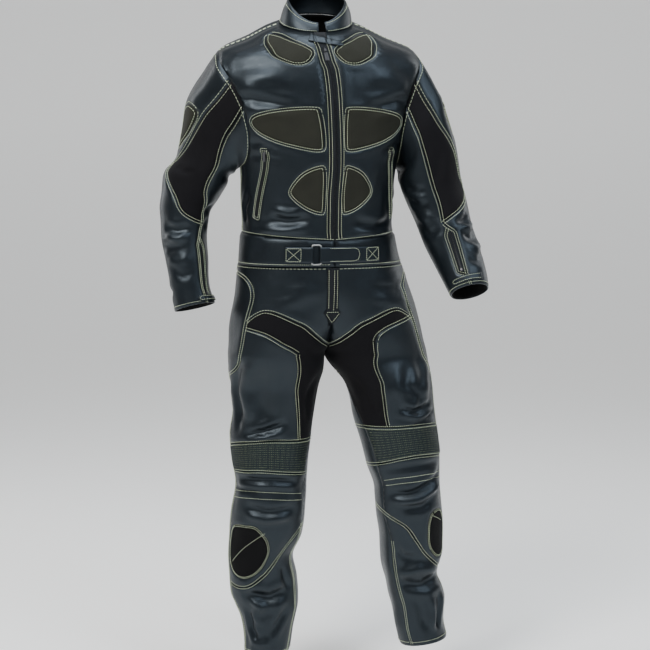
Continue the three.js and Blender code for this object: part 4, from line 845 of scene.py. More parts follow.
LEG_FOLDS = {
    "right": [
        ([[20, -545], [10, -575], [24, -612]], 16, 2.5),
        ([[33, -722], [38, -810], [30, -890]], 15, 5),
        ([[54, -720], [58, -820], [48, -925]], 12, -5),
        ([[14, -750], [12, -840], [6, -880]], 15, -3),
        ([[-22, -872], [4, -896], [34, -914]], 8, -6),
        ([[-20, -898], [10, -914], [40, -926]], 7, 4),
        ([[-50, -1016], [-6, -1012], [60, -1020]], 7, -4),
        ([[-54, -1030], [0, -1026], [64, -1032]], 6, 4),
        ([[10, -1036], [40, -1040], [72, -1044]], 5, -3),
        ([[-50, -1078], [0, -1090], [44, -1076]], 9, -4),
        ([[-44, -1098], [0, -1108], [36, -1100]], 9, 3.5),
        ([[-50, -1284], [-10, -1304], [40, -1298]], 12, -7),
        ([[30, -1294], [6, -1326], [22, -1350], [4, -1376]], 11, 5),
        ([[-40, -1330], [-20, -1370], [-6, -1400]], 11, -4),
        ([[34, -1340], [36, -1380], [20, -1412]], 10, -5),
        ([[-44, -1230], [-40, -1260], [-52, -1290]], 10, -4),
        ([[-10, -1414], [14, -1420], [36, -1414]], 9, 3),
        ([[-60, -760], [-50, -820], [-60, -880]], 12, -2.5),
        ([[120, -1040], [180, -1052], [240, -1040]], 12, -5),
        ([[120, -1075], [180, -1086], [240, -1075]], 12, 4),
        ([[120, -1110], [180, -1122], [240, -1110]], 12, -5),
        ([[110, -820], [150, -860], [200, -870]], 16, -4),
        ([[110, -1280], [160, -1300], [230, -1290]], 12, -5),
        ([[150, -690], [180, -716], [220, -726]], 14, -4),
        ([[80, -790], [92, -830], [90, -870]], 10, -3),
    ],
    "left": [
        ([[20, -560], [44, -566], [66, -556]], 10, -2.5),
        ([[14, -590], [40, -598], [58, -590]], 12, 2.5),
        ([[30, -740], [20, -790], [34, -840]], 12, -3.5),
        ([[56, -720], [58, -780], [46, -840]], 14, 4),
        ([[4, -842], [30, -862], [66, -846]], 7, -5),
        ([[4, -858], [34, -874], [70, -862]], 6, 4),
        ([[20, -884], [50, -884], [78, -868]], 6, -4),
        ([[20, -800], [32, -830], [22, -856]], 7, 3),
        ([[-42, -986], [10, -984], [70, -990]], 7, -3),
        ([[-44, -1042], [0, -1050], [40, -1036], [78, -1012]], 9, -5),
        ([[-30, -1060], [16, -1066], [52, -1048], [80, -1030]], 8, 4.5),
        ([[-14, -1084], [20, -1088], [46, -1074]], 8, -3.5),
        ([[-34, -1246], [10, -1238], [60, -1250]], 12, 6),
        ([[-32, -1272], [20, -1282], [80, -1268]], 11, -7),
        ([[-28, -1176], [-18, -1200], [4, -1212]], 9, -4),
        ([[26, -1304], [30, -1350], [30, -1398]], 12, 4.5),
        ([[50, -1306], [50, -1350], [44, -1400]], 10, -4.5),
        ([[0, -1310], [4, -1350], [10, -1390]], 10, -3.5),
        ([[-50, -760], [-34, -820], [-30, -870]], 12, -2.5),
        ([[120, -1000], [180, -1012], [240, -1000]], 12, -5),
        ([[120, -1035], [180, -1046], [240, -1035]], 12, 4),
        ([[120, -1070], [180, -1082], [240, -1070]], 12, -5),
        ([[110, -820], [150, -860], [200, -870]], 16, -4),
        ([[110, -1260], [160, -1280], [230, -1270]], 12, -5),
        ([[150, -690], [180, -716], [220, -726]], 14, -4),
    ],
}


def steps(low, high, count):
    return np.linspace(low, high, count + 1)


def line(us, vs):
    return columns(us, vs)


def body_tube():
    seams = both_sides(BODY_SEAMS)
    for sign in (-1, 1):
        heights = np.array(PLACKET_HEIGHTS)
        seams.append(line(aside(sign * PLACKET, heights), heights))
    seams.append(straight([0, -454], [0, TROUSER_TOP]))
    heights = steps(NECK, WAIST, 60)
    border = [line(u, heights) for u in (-180, 180)]
    border += [line(steps(-180, 180, 120), z) for z in (NECK, WAIST)]
    for sign in (-1, 1):
        u, z = armhole_at(steps(-90, 270, 120))
        border.append(line(sign * u, z))
    seeds = {"front_zip": [0, -200]}
    for side in SIDES:
        sign = SIGN[side]
        seeds["front_" + side] = [sign * 30, -270]
        seeds["back_" + side] = [sign * 150, -200]
        seeds["neck_crescent_" + side] = [sign * 20, 0]
        seeds["chest_insert_" + side] = [sign * 25, -200]
        seeds["waist_insert_" + side] = [sign * 15, -340]
        seeds["pocket_zip_" + side] = [sign * 54, -320]
        seeds["hem_band_" + side] = [sign * 60, -480]

    def inside(u, v):
        return columns(np.zeros_like(u), 0, np.minimum(v, 0) - 20)

    return Tube(BODY_SCALE, body_point, inside, border, seams, seeds, BODY_FOLDS)


def sleeve_tube(side):
    long = SLEEVE_LENGTH[side]
    right = side == "right"
    seams = SLEEVE_SEAMS[side] + [straight([195, 0], [190, 60], [190, long])]
    border = [line(u, steps(0, long, 60)) for u in (-90, 270)]
    border += [line(steps(-90, 270, 90), down) for down in (0, long)]
    seeds = {
        "sleeve_upper_" + side: [130, 80],
        "arm_insert_" + side: [70, 100] if right else [84, 100],
        "sleeve_stretch_" + side: [15, 120],
        "sleeve_forearm_" + side: [100, 350],
        "sleeve_inner_" + side: [-60, 150],
        "sleeve_back_" + side: [230, 200],
        "sleeve_zip_" + side: [-48, 420] if right else [-2, 390],
    }

    def place(u, v):
        return sleeve_point(side, u, v)

    def inside(u, v):
        read = SLEEVE[side]
        return columns(read("x", v), read("y", v), read("z", v))

    return Tube(SLEEVE_SCALE, place, inside, border, seams, seeds, SLEEVE_FOLDS[side])


def leg_tube(side):
    hem = HEM[side]
    right = side == "right"
    high = steps(TROUSER_TOP, CROTCH, 40)
    low = steps(CROTCH, hem, 120)
    cut = INSEAM[side]("around", low)
    border = [
        line(steps(0, 180, 90), TROUSER_TOP),
        np.concatenate([line(mid_around(high), high), line(cut, low)[1:]]),
        np.concatenate([line(180 - mid_around(high), high), line(cut + 360, low)[1:]]),
        line(steps(cut[-1], cut[-1] + 360, 90), hem),
    ]
    seams = HIP_SEAMS + LEG_SEAMS[side]
    seeds = {
        "yoke_" + side: [30, -570],
        "hip_side_" + side: [90, -650],
        "seat_" + side: [160, -620],
        "thigh_stretch_" + side: [-40, -740],
        "thigh_" + side: [30, -800],
        "knee_pleats_" + side: [0, -960 if right else -925],
        "knee_" + side: [20, -1060],
        "knee_patch_" + side: [30, -1190] if right else [55, -1160],
        "shin_" + side: [20, -1350],
        "leg_back_" + side: [180, -1000],
    }

    def place(u, v):
        return leg_point(side, u, v)

    def inside(u, v):
        return (leg_point(side, np.full_like(v, 90), v) + leg_point(side, np.full_like(v, -90), v)) / 2

    def sides(v):
        cut = INSEAM[side]("around", v)
        left = np.where(v > CROTCH, mid_around(v), cut)
        right = np.where(v > CROTCH, 180 - mid_around(v), cut + 360)
        return hem, TROUSER_TOP, left, right

    tube = Tube(LEG_SCALE, place, inside, border, seams, seeds, LEG_FOLDS[side], Pleats(side))
    tube.sides = sides
    return tube


# A piece takes the place of a node of the part, which is hidden.
def take_place(node):
    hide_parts(node)
    slot_of(node)


SHEET_HANGS = {
    "leather": "hung",
    "stretch": "stretched",
    "mesh": "stretched",
    "zip": "hung",
}


def slot_of(name):
    if "crescent" in name or "insert" in name:
        return "mesh"
    if "stretch" in name:
        return "stretch"
    if "zip" in name or "fly" in name:
        return "zip"
    if "buckle" in name or "pull" in name:
        return "metal"
    return "leather"


LEAST_FILL = 0.32


# Works out a panel's size without keeping it: its area, and the two widest spans of its worn skin.
# The smaller span is narrowed where the panel fills less than the least share of the two.
def state_cut(piece, spots, faces):
    corners = spots[np.array(faces)] * MM
    across = np.cross(corners[:, 1] - corners[:, 0], corners[:, 2] - corners[:, 0])
    area = np.linalg.norm(across, axis=1).sum() / 2
    used = spots[sorted({n for face in faces for n in face})] * MM
    centred = used - used.mean(axis=0)
    ways = np.linalg.svd(centred, full_matrices=False)[2]
    reach = [np.ptp(centred @ way) for way in ways[:2]]
    long = max(reach)
    wide = max(min(reach), area / long * 1.02)
    wide = min(wide, area / long / LEAST_FILL)
    held = SHEET_HANGS[slot_of(piece.name)]


def make_panels(tube, step):
    made = {}
    for name, (outer, inner, faces) in tube.panels(step).items():
        piece = panel_piece(name + "_sewn", outer, inner, faces)
        take_place(name)
        state_cut(piece, outer, faces)
        made[name] = piece
    return made


PANEL_STEP = 7.5
body = body_tube()
sleeves = {side: sleeve_tube(side) for side in SIDES}
legs = {side: leg_tube(side) for side in SIDES}
panels = make_panels(body, PANEL_STEP)
for side in SIDES:
    panels.update(make_panels(sleeves[side], PANEL_STEP))
    panels.update(make_panels(legs[side], PANEL_STEP))


# Sewing: every row of stitches is a line on a tube, moved aside by a few mm.
STITCH = {"pitch": 4.7, "long": 3.7, "radius": 0.62}


def moved_aside(flat, mm):
    way = unit(np.gradient(flat, axis=0))
    return flat + np.stack([-way[:, 1], way[:, 0]], axis=1) * mm


def dashes(tube, rows, pitch, long):
    starts = []
    ends = []
    for row, mm in rows:
        flat = moved_aside(evenly(tube.flat(row), 3), mm)
        run = cumulative(flat)
        at = np.arange(pitch / 2, run[-1] - long, pitch)
        starts.append(read_along(flat, run, at))
        ends.append(read_along(flat, run, at + long))
    return np.concatenate(starts) / tube.scale, np.concatenate(ends) / tube.scale


THREAD_LIFT = 0.35  # mm that a dash's middle stands above its ends


# Threads as short, round-ended dashes, joined to one piece.
def thread_piece(name, starts, ends, normals, radius):
    way = unit(ends - starts)
    side = unit(np.cross(normals, way))
    up = np.cross(way, side)
    spots = [starts]
    for share in (0.16, 0.84):
        middle = starts + (ends - starts) * share + up * THREAD_LIFT
        for angle in (90, 210, 330):
            c, s = math.cos(math.radians(angle)), math.sin(math.radians(angle))
            spots.append(middle + (side * c + up * s) * radius)
    spots.append(ends)
    spots = np.stack(spots, axis=1).reshape(-1, 3)
    shape = [(0, 2, 1), (0, 3, 2), (0, 1, 3), (4, 5, 7), (5, 6, 7), (6, 4, 7)]
    shape += [(1, 2, 5, 4), (2, 3, 6, 5), (3, 1, 4, 6)]
    faces = [tuple(8 * i + n for n in face) for i in range(len(starts)) for face in shape]
    return mesh_piece(name, spots, faces)


def sew(name, tube, rows, radius=STITCH["radius"], pitch=STITCH["pitch"], long=STITCH["long"], out=0.35):
    starts, ends = dashes(tube, rows, pitch, long)
    count = len(starts)
    both = np.concatenate([starts, ends])
    skin = tube.skin(both, out)
    normals = tube.normal(starts)
    return thread_piece(name, skin[:count], skin[count:], normals, radius)


def double(rows, mm=3.2):
    return [(row, way * mm) for row in rows for way in (-1, 1)]


body_rows = double(both_sides(BODY_SEAMS[:3]), 2.8)
body_rows += double(both_sides(BODY_SEAMS[3:4]), 2.6)
body_rows += double(both_sides(BODY_SEAMS[4:6]))
body_rows += [(BODY_SEAMS[6], 3), (mirrored(BODY_SEAMS[6]), -3)]
for sign in (-1, 1):
    heights = np.linspace(30, -450, 60)
    for mm in (PLACKET - 3.4, PLACKET + 3.4):
        body_rows.append((line(aside(sign * mm, heights), heights), 0))
    body_rows.append((line(sign * steps(2, 178, 90), -507.5), 0))
threads = [sew("body_stitching", body, body_rows)]

for side in SIDES:
    long = SLEEVE_LENGTH[side]
    rows = double(SLEEVE_SEAMS[side][:4])
    rows += double(SLEEVE_SEAMS[side][4:], 3)
    rows += double([straight([195, 8], [190, 60], [190, long - 4])])
    rows += [(line(steps(-88, 268, 120), 5.5), 0), (line(steps(-88, 268, 90), long - 7), 0)]
    threads.append(sew("sleeve_stitching_" + side, sleeves[side], rows))

KNEE_ROWS = {
    "right": {"from": -62, "to": 72, "heights": [-1043, -1059]},
    "left": {"from": -40, "to": 82, "heights": [-1009, -1022]},
}
PATCH_BAR = {
    "right": straight([-1, -1140], [28, -1180], [54, -1220]),
    "left": straight([40, -1112], [53, -1121], [67, -1132]),
}
SHIN_ROW_TOP = {"right": -1120, "left": -1160}
for side in SIDES:
    hem = HEM[side]
    rows = double(HIP_SEAMS + LEG_SEAMS[side][:6])
    rows += [(LEG_SEAMS[side][6], 0), (LEG_SEAMS[side][6], 3.2)]
    us = steps(KNEE_ROWS[side]["from"], KNEE_ROWS[side]["to"], 60)
    for z in KNEE_ROWS[side]["heights"]:
        rows.append((line(us, z - 4 + 5 * np.cos(np.radians(us * 1.6))), 0))
    rows.append((line(steps(2, 178, 90), -517.5), 0))
    cut = INSEAM[side]("around", hem)
    rows.append((line(steps(cut + 2, cut + 358, 110), hem + 9), 0))
    low = steps(SHIN_ROW_TOP[side], hem + 3, 80)
    for aside_mm in (2.5, 8):
        rows.append((line(INSEAM[side]("around", low) + aside_mm / 1.2, low), 0))
    rows.append((PATCH_BAR[side], 0))
    threads.append(sew("leg_stitching_" + side, legs[side], rows))
    ribs = [(row, 0) for row in legs[side].pleats.thread_lines()]
    threads.append(sew("pleat_threads_" + side, legs[side], ribs, 0.42, 3.4, 2.6, 0.6))


# Zips: teeth that reach in turn from the two sides of a middle line.
def teeth(name, tube, middle, pitch=2.3, out=0.9):
    flat = evenly(tube.flat(middle), pitch)
    normals = tube.normal(flat / tube.scale)
    spots = tube.skin(flat / tube.scale, out)
    way = unit(np.gradient(spots, axis=0))
    side = unit(np.cross(normals, way))
    points = []
    hands = np.where(np.arange(len(spots)) % 2 == 0, 1, -1)[:, None]
    for high, wide in ((-0.5, 1.0), (0.9, 0.8)):
        for along, inner in ((-1, 0), (1, 0), (1, 1), (-1, 1)):
            reach = (-0.7 if inner == 0 else 2.3) * wide
            points.append(spots + way * along * 0.72 * wide + side * hands * reach + normals * high)
    points = np.stack(points, axis=1).reshape(-1, 3)
    shape = [(0, 1, 5, 4), (1, 2, 6, 5), (2, 3, 7, 6), (3, 0, 4, 7), (4, 5, 6, 7), (3, 2, 1, 0)]
    faces = [tuple(8 * i + n for n in face) for i in range(len(spots)) for face in shape]
    return mesh_piece(name, points, faces, smooth_faces=False)


heights = np.linspace(6, -450, 80)
zip_lines = {"front": (body, line(aside(0, heights), heights))}
for side in SIDES:
    middle = straight([47.4, -262], [62, -400])
    zip_lines["pocket_" + side] = (body, middle if side == "left" else mirrored(middle))
zip_lines["sleeve_right"] = (sleeves["right"], straight([-47.5, 362], [-51.5, 440], [-52, 484]))
zip_lines["sleeve_left"] = (sleeves["left"], straight([3.4, 322], [-1, 370], [-5, 426]))
zip_teeth = [teeth(name + "_zip_teeth", tube, middle) for name, (tube, middle) in zip_lines.items()]


# Turns a piece's faces outwards, and rounds its edges by a bevel in mm.
def face_outwards(piece, bevel=0):
    made = bmesh.new()
    made.from_mesh(piece.data)
    bmesh.ops.recalc_face_normals(made, faces=made.faces)
    if bevel:
        bmesh.ops.bevel(made, geom=made.edges[:], offset=bevel * MM, segments=2, affect="EDGES")
    made.to_mesh(piece.data)
    made.free()


# A closed strip of points spread on a surface. at(i, j, k) gives all points of a side at once.
def strip_piece(name, cols, rows, at):
    i, j = (axis.ravel() for axis in np.meshgrid(np.arange(cols + 1), np.arange(rows + 1), indexing="ij"))
    inner = at(i, j, 0)
    outer = at(i, j, 1)
    count = len(i)

    def spot(a, b, k):
        return a * (rows + 1) + b + (count if k else 0)

    faces = []
    for a in range(cols):
        for b in range(rows):
            faces.append((spot(a, b, 1), spot(a + 1, b, 1), spot(a + 1, b + 1, 1), spot(a, b + 1, 1)))
    skins = len(faces)
    for a in range(cols):
        for b in range(rows):
            faces.append((spot(a, b, 0), spot(a, b + 1, 0), spot(a + 1, b + 1, 0), spot(a + 1, b, 0)))
    for a in range(cols):
        faces.append((spot(a, 0, 0), spot(a + 1, 0, 0), spot(a + 1, 0, 1), spot(a, 0, 1)))
        faces.append((spot(a, rows, 1), spot(a + 1, rows, 1), spot(a + 1, rows, 0), spot(a, rows, 0)))
    for b in range(rows):
        faces.append((spot(0, b, 0), spot(0, b, 1), spot(0, b + 1, 1), spot(0, b + 1, 0)))
        faces.append((spot(cols, b, 1), spot(cols, b, 0), spot(cols, b + 1, 0), spot(cols, b + 1, 1)))
    piece = mesh_piece(name, np.concatenate([inner, outer]), faces)
    face_outwards(piece)
    halves = [(f[0] - count, f[n] - count, f[n + 1] - count) for n in (1, 2) for f in faces[:skins]]
    state_cut(piece, outer, halves)
    return piece


# The collar stands on the neck's edge from one angle to another. half, front and back: its top ring's half
# width and depths. side: the height of that ring at the sides, from which it dips in front and rises behind.
COLLAR = {"from": 10, "to": 359, "half": 67, "front": 60, "back": 62}
COLLAR.update({"side": 90, "dip": 54, "rise": 18, "thick": 3})


def collar_point(u, t):
    u = np.asarray(u, float)
    base = body_point(u, np.full(len(u), NECK))
    c = np.cos(np.radians(u))
    s = np.sin(np.radians(u))
    turn = math.radians(6)
    ahead = c * np.where(c > 0, COLLAR["front"], COLLAR["back"])
    across = COLLAR["half"] * s
    top_z = COLLAR["side"] - np.where(c > 0, COLLAR["dip"] * np.abs(c) ** 1.4, COLLAR["rise"] * c)
    top_x = 1.5 + across * math.cos(turn) + ahead * math.sin(turn)
    top = columns(top_x, across * math.sin(turn) - ahead * math.cos(turn), top_z)
    t = np.broadcast_to(t, len(u))[:, None]
    point = base * (1 - t) + top * t
    point[:, 2] += 0.35 * (1 - t[:, 0])
    return point + columns(s, -c, 0) * (3 * np.sin(math.pi * t))


def collar_at(i, j, k):
    u = COLLAR["from"] + (COLLAR["to"] - COLLAR["from"]) * i / 150
    inward = columns(-np.sin(np.radians(u)), np.cos(np.radians(u)), 0)
    t = j / 12
    roll = 1.0 * np.sin(np.radians(u * 5)) * np.sin(math.pi * t) - 1.1 * np.exp(-(((t - 0.86) / 0.05) ** 2))
    thick = -roll if k else COLLAR["thick"] - roll * 0.4
    return collar_point(u, t) + inward * thick[:, None]


# A row of stitches through given points, for the fittings.
def bead(name, spots, normals, radius=0.55):
    pitch = STITCH["pitch"]
    long = STITCH["long"]
    run = cumulative(spots)
    at = np.arange(pitch / 2, run[-1] - long, pitch)
    starts = read_along(spots, run, at)
    ends = read_along(spots, run, at + long)
    return thread_piece(name, starts, ends, unit(read_along(normals, run, at)), radius)


collar = strip_piece("collar_sewn", 150, 12, collar_at)
take_place("collar")
around = np.linspace(COLLAR["from"] + 2, COLLAR["to"] - 2, 160)
outwards = columns(np.sin(np.radians(around)), -np.cos(np.radians(around)), 0)
for label, share in (("upper", 0.86), ("lower", 0.1)):
    threads.append(bead("collar_stitching_" + label, collar_point(around, share) + outwards * 0.5, outwards))


def on_body(u, z, out):
    return body.skin(np.stack(np.broadcast_arrays(u, z), axis=1).astype(float), out)


def tab_at(i, j, k):
    u = -12 + 30 * i / 40
    fullness = np.sqrt(np.maximum(0.06, 1 - (np.maximum(0, u - 12) / 6) ** 2))
    crown = 0.5 * (1 - (j / 4 - 1) ** 4)
    return on_body(u, 29 - (u + 12) * 0.5 + (j / 4 - 1) * 7 * fullness, (3 + crown) if k else 0.8 + 0 * u)


collar_tab = strip_piece("collar_tab_sewn", 40, 8, tab_at)
take_place("collar_tab")


# The belt, with each strap a path of [mm across from the front middle, mm out].
STRAP = {"low": -503, "high": -468, "thick": 1.8, "lower": 1.4, "upper": 3.6}
BAR = {"keeper": -54, "strap": -33, "out": 4.3, "radius": 1.5, "top": -463, "bottom": -507, "turn": 2.9}


def strap_turn(bar, sense):
    angles = np.radians(np.linspace(0, 180, 13))
    return [(bar + sense * BAR["turn"] * math.sin(a), BAR["out"] - BAR["turn"] * math.cos(a)) for a in angles]


def level(low, high, count, out):
    return [(s, out) for s in np.linspace(low, high, count + 1)]


def strap_piece(name, path, fullness):
    path = np.array(path)
    way = unit(np.gradient(path, axis=0))

    def at(i, j, k):
        half = (1 if k else -1) * STRAP["thick"] / 2
        s = path[i, 0] - way[i, 1] * half
        out = path[i, 1] + way[i, 0] * half
        crown = 0.35 * (1 - (j / 4 - 1) ** 6) * (1 if k else -1) * 0.5
        middle = (STRAP["low"] + STRAP["high"]) / 2
        z = middle + (j / 4 - 1) * (STRAP["high"] - STRAP["low"]) / 2 * fullness(path[i, 0], i)
        return plain_body(aside(s, z), z, out + crown * np.sign(way[i, 0]))

    return strip_piece(name, len(path) - 1, 8, at)


# The straps lie on the band's plain surface, without its relief.
def plain_body(u, z, out):
    return body.points(np.stack([u, z], axis=1), out + 0.9)


keeper_path = level(-113, -62, 12, STRAP["lower"]) + strap_turn(BAR["keeper"], 1) + [(-64, 5)]
keeper_path += level(-74, -113, 9, STRAP["upper"])
strap_path = level(105, -22, 30, STRAP["lower"]) + strap_turn(BAR["strap"], -1) + [(-20, 5)]
strap_path += level(-8, 48, 14, STRAP["upper"])
strap_path += [(s, STRAP["upper"]) for s in (50, 52, 54, 56, 57.5, 58.7, 59.3)]


def round_end(s, i):
    over = np.where(i < 40, 0, np.maximum(0, s - 48) / 12)
    return np.sqrt(np.maximum(0.05, 1 - np.minimum(over, 1) ** 2))


belt_keeper = strap_piece("belt_keeper_sewn", keeper_path, lambda s, i: np.ones(len(s)))
belt_strap = strap_piece("belt_strap_sewn", strap_path, round_end)
take_place("belt_keeper")
take_place("belt_strap")


def belt_row(name, spots, out):
    spots = evenly(np.array(spots, float), 2)
    uv = np.stack([aside(spots[:, 0], spots[:, 1]), spots[:, 1]], axis=1)
    return bead(name, body.points(uv, out + 1.0), body.normal(uv))


def box_rows(name, low, high, out):
    top = STRAP["high"] - 3
    bottom = STRAP["low"] + 3
    ring = [(low, top), (high, top), (high, bottom), (low, bottom), (low, top)]
    for k, spots in enumerate((ring, [(low, top), (high, bottom)], [(low, bottom), (high, top)])):
        threads.append(belt_row(f"{name}_{k}", spots, out))


box_rows("belt_cross_keeper", -110, -78, STRAP["upper"] + STRAP["thick"] / 2)
box_rows("belt_cross_strap", 73, 102, STRAP["lower"] + STRAP["thick"] / 2)
edge_row = [(-16, -471), (44, -471), (52, -474), (56, -485.5), (52, -497), (44, -500), (-16, -500)]
threads.append(belt_row("belt_edge_stitching", edge_row, STRAP["upper"] + STRAP["thick"] / 2))


# A wire bent to a closed loop.
def wire_loop(name, spots, normals, radius, sides=14):
    way = unit(np.roll(spots, -1, axis=0) - np.roll(spots, 1, axis=0))
    side = unit(np.cross(normals, way))
    up = np.cross(way, side)
    rings = []
    for angle in np.radians(np.arange(sides) * 360 / sides):
        rings.append(spots + side * radius * math.cos(angle) + up * radius * math.sin(angle))
    points = np.stack(rings, axis=1).reshape(-1, 3)
    count = len(spots)
    faces = []
    for i in range(count):
        for j in range(sides):
            a, b = i * sides + j, i * sides + (j + 1) % sides
            c, d = ((i + 1) % count) * sides + (j + 1) % sides, ((i + 1) % count) * sides + j
            faces.append((a, b, c, d))
    return mesh_piece(name, points, faces)


loop = []
corner = 5
for s, z, angle in (
    (BAR["strap"] - corner, BAR["top"] - corner, 0),
    (BAR["keeper"] + corner, BAR["top"] - corner, 90),
    (BAR["keeper"] + corner, BAR["bottom"] + corner, 180),
    (BAR["strap"] - corner, BAR["bottom"] + corner, 270),
):
    for a in range(0, 91, 15):
        turn = math.radians(angle + a)
        loop.append((s + corner * math.cos(turn), z + corner * math.sin(turn)))
loop = np.array(loop)
loop_uv = np.stack([aside(loop[:, 0], loop[:, 1]), loop[:, 1]], axis=1)
loop_spots = body.points(loop_uv, BAR["out"] + 0.9)
buckle = wire_loop("buckle_loop", loop_spots, body.normal(loop_uv), BAR["radius"] + 0.15)
take_place("buckle")

# The fly: a strip over the trousers' front seam that ends in a triangle.
FLY_Z = np.array([-516, -540, -565, -590, -613, -618, -632, -645])
FLY_HALF = np.array([13, 13, 13, 13, 13, 20, 11.5, 4])


def fly_point(mm, z, out):
    spots = []
    for across, height, rise in zip(mm, z, out):
        side = "right" if across < 0 else "left"
        apart = HIP("apart", height)
        away = abs(across) - apart
        outer = abs(HIP_EDGE[side]("edge", height) - MID_X) - apart * math.cos(math.radians(MID_TURN))
        share = abs(away) / (HIP("in", height) if away < 0 else outer)
        around = np.sign(away) * np.degrees(np.arcsin(share ** (LEG_SQUARE / 2)))
        uv = np.array([[around, height]])
        normal = legs[side].normal(uv)[0]
        middle = np.array([math.cos(math.radians(MID_TURN)), math.sin(math.radians(MID_TURN)), 0])
        calm = max(0, 1 - abs(across) / 3)
        normal = unit(normal - middle * normal.dot(middle) * calm)
        spots.append(legs[side].place(uv[:, 0], uv[:, 1])[0] + normal * rise)
    return np.array(spots)


def fly_half(z):
    return np.interp(z, FLY_Z[::-1], FLY_HALF[::-1])


def fly_at(i, j, k):
    z = FLY_Z[0] + (FLY_Z[-1] - FLY_Z[0]) * j / 40
    crown = 0.5 * (1 - ((i - 6) / 6) ** 4)
    return fly_point(fly_half(z) * (i - 6) / 6, z, (2.4 + crown if k else 0.9 + 0 * i))


fly = strip_piece("fly_sewn", 12, 40, fly_at)
take_place("fly")


def fly_row(name, mm, z):
    flat = evenly(columns(mm, z), 2)
    spots = fly_point(flat[:, 0], flat[:, 1], np.full(len(flat), 3.1))
    return bead(name, spots, np.tile([[0.17, -0.98, 0.05]], (len(spots), 1)))


FLY_ROWS = [
    ([-10, -10], [-518, -612]),
    ([10, 10], [-518, -612]),
    ([3, 3], [-518, -612]),
    ([-16, 16], [-616.5, -616.5]),
    ([-16, -2, 2, 16], [-619, -640, -640, -619]),
]
for k, (mm, z) in enumerate(FLY_ROWS):
    threads.append(fly_row(f"fly_stitching_{k}", mm, z))


CUFF_TABS = {
    "right": {"from": -96, "to": -20, "down": 494, "half": 8},
    "left": {"from": 44, "to": -44, "down": 449, "half": 8},
}
cuff_tabs = []
for side in SIDES:
    tab = CUFF_TABS[side]

    def cuff_at(i, j, k):
        share = i / 40
        u = tab["from"] + (tab["to"] - tab["from"]) * share
        over = np.maximum(0, share - 0.88) / 0.12
        fullness = np.sqrt(np.maximum(0.06, 1 - over ** 2))
        uv = np.stack([u, tab["down"] + (j / 3 - 1) * tab["half"] * fullness], axis=1)
        crown = 0.4 * (1 - (j / 3 - 1) ** 4)
        return sleeves[side].skin(uv, (2.9 + crown) if k else 0.9 + 0 * u)

    piece = strip_piece("cuff_tab_sewn_" + side, 40, 6, cuff_at)
    take_place("cuff_tab_" + side)
    cuff_tabs.append(piece)
    reach = tab["from"] + (tab["to"] - tab["from"]) * np.array([0.04, 0.9, 0.96, 0.9, 0.04])
    drop = tab["down"] + np.array([-5, -5, 0, 5, 5])
    flat = evenly(np.stack([reach * 1.15, drop], axis=1), 2) / np.array([1.15, 1])
    spots = sleeves[side].skin(flat, 3.6)
    threads.append(bead("cuff_tab_stitching_" + side, spots, sleeves[side].normal(flat)))


SLIDER = (3.4, 7.5, 2.6)  # half width, length and height in mm
SMALL_SLIDER = (2.8, 6.5, 2.2)


# The sliders' bodies, each a small wedge.
def slider(name, tube, uv, along, size=SMALL_SLIDER):
    uv = np.array([uv], float)
    base = tube.skin(uv, 2.2)[0]
    out = tube.normal(uv)[0]
    way = unit(tube.skin(uv + np.array([along]), 2.2)[0] - base)
    side = np.cross(out, way)
    half, long, high = size
    points = []
    for rise, grow in ((-1, 1), (high * 0.5, 1), (high, 0.7)):
        for t, wide in ((-0.5, 0.62), (-0.3, 0.8), (0.2, 1), (0.5, 0.86)):
            for hand in (-1, 1):
                points.append(base + way * t * long * grow + side * hand * half * wide * grow + out * rise)
    ring = [0, 2, 4, 6, 7, 5, 3, 1]
    faces = [tuple(16 + n for n in ring), tuple(reversed(ring))]
    for a in (0, 8):
        for n in range(8):
            p, q = ring[n], ring[(n + 1) % 8]
            faces.append((a + p, a + q, a + 8 + q, a + 8 + p))
    piece = mesh_piece(name, points, faces, smooth_faces=False)
    face_outwards(piece, 0.4)
    return piece


sliders = [
    slider("front_zip_slider", body, [aside(0, -2), -2], [0, -2], SLIDER),
    slider("pocket_zip_slider_right", body, [-47.2, -256], [-0.2, -3]),
    slider("pocket_zip_slider_left", body, [47.2, -256], [0.2, -3]),
    slider("sleeve_zip_slider_right", sleeves["right"], [-52, 482], [0, 2]),
    slider("sleeve_zip_slider_left", sleeves["left"], [-5, 424], [0, 2]),
]


# Materials: a value of a shader, with its arithmetic as nodes.
class Socket:
    def __init__(self, tree, socket):
        self.tree = tree
        self.socket = socket

    def maths(self, operation, other, turned=False):
        node = self.tree.nodes.new("ShaderNodeMath")
        node.operation = operation
        first, second = (other, self) if turned else (self, other)
        for place, value in ((0, first), (1, second)):
            if isinstance(value, Socket):
                self.tree.links.new(value.socket, node.inputs[place])
            else:
                node.inputs[place].default_value = value
        return Socket(self.tree, node.outputs[0])

    def __add__(self, other):
        return self.maths("ADD", other)

    def __sub__(self, other):
        return self.maths("SUBTRACT", other)

    def __rsub__(self, other):
        return self.maths("SUBTRACT", other, True)

    def __mul__(self, other):
        return self.maths("MULTIPLY", other)

    __radd__ = __add__
    __rmul__ = __mul__


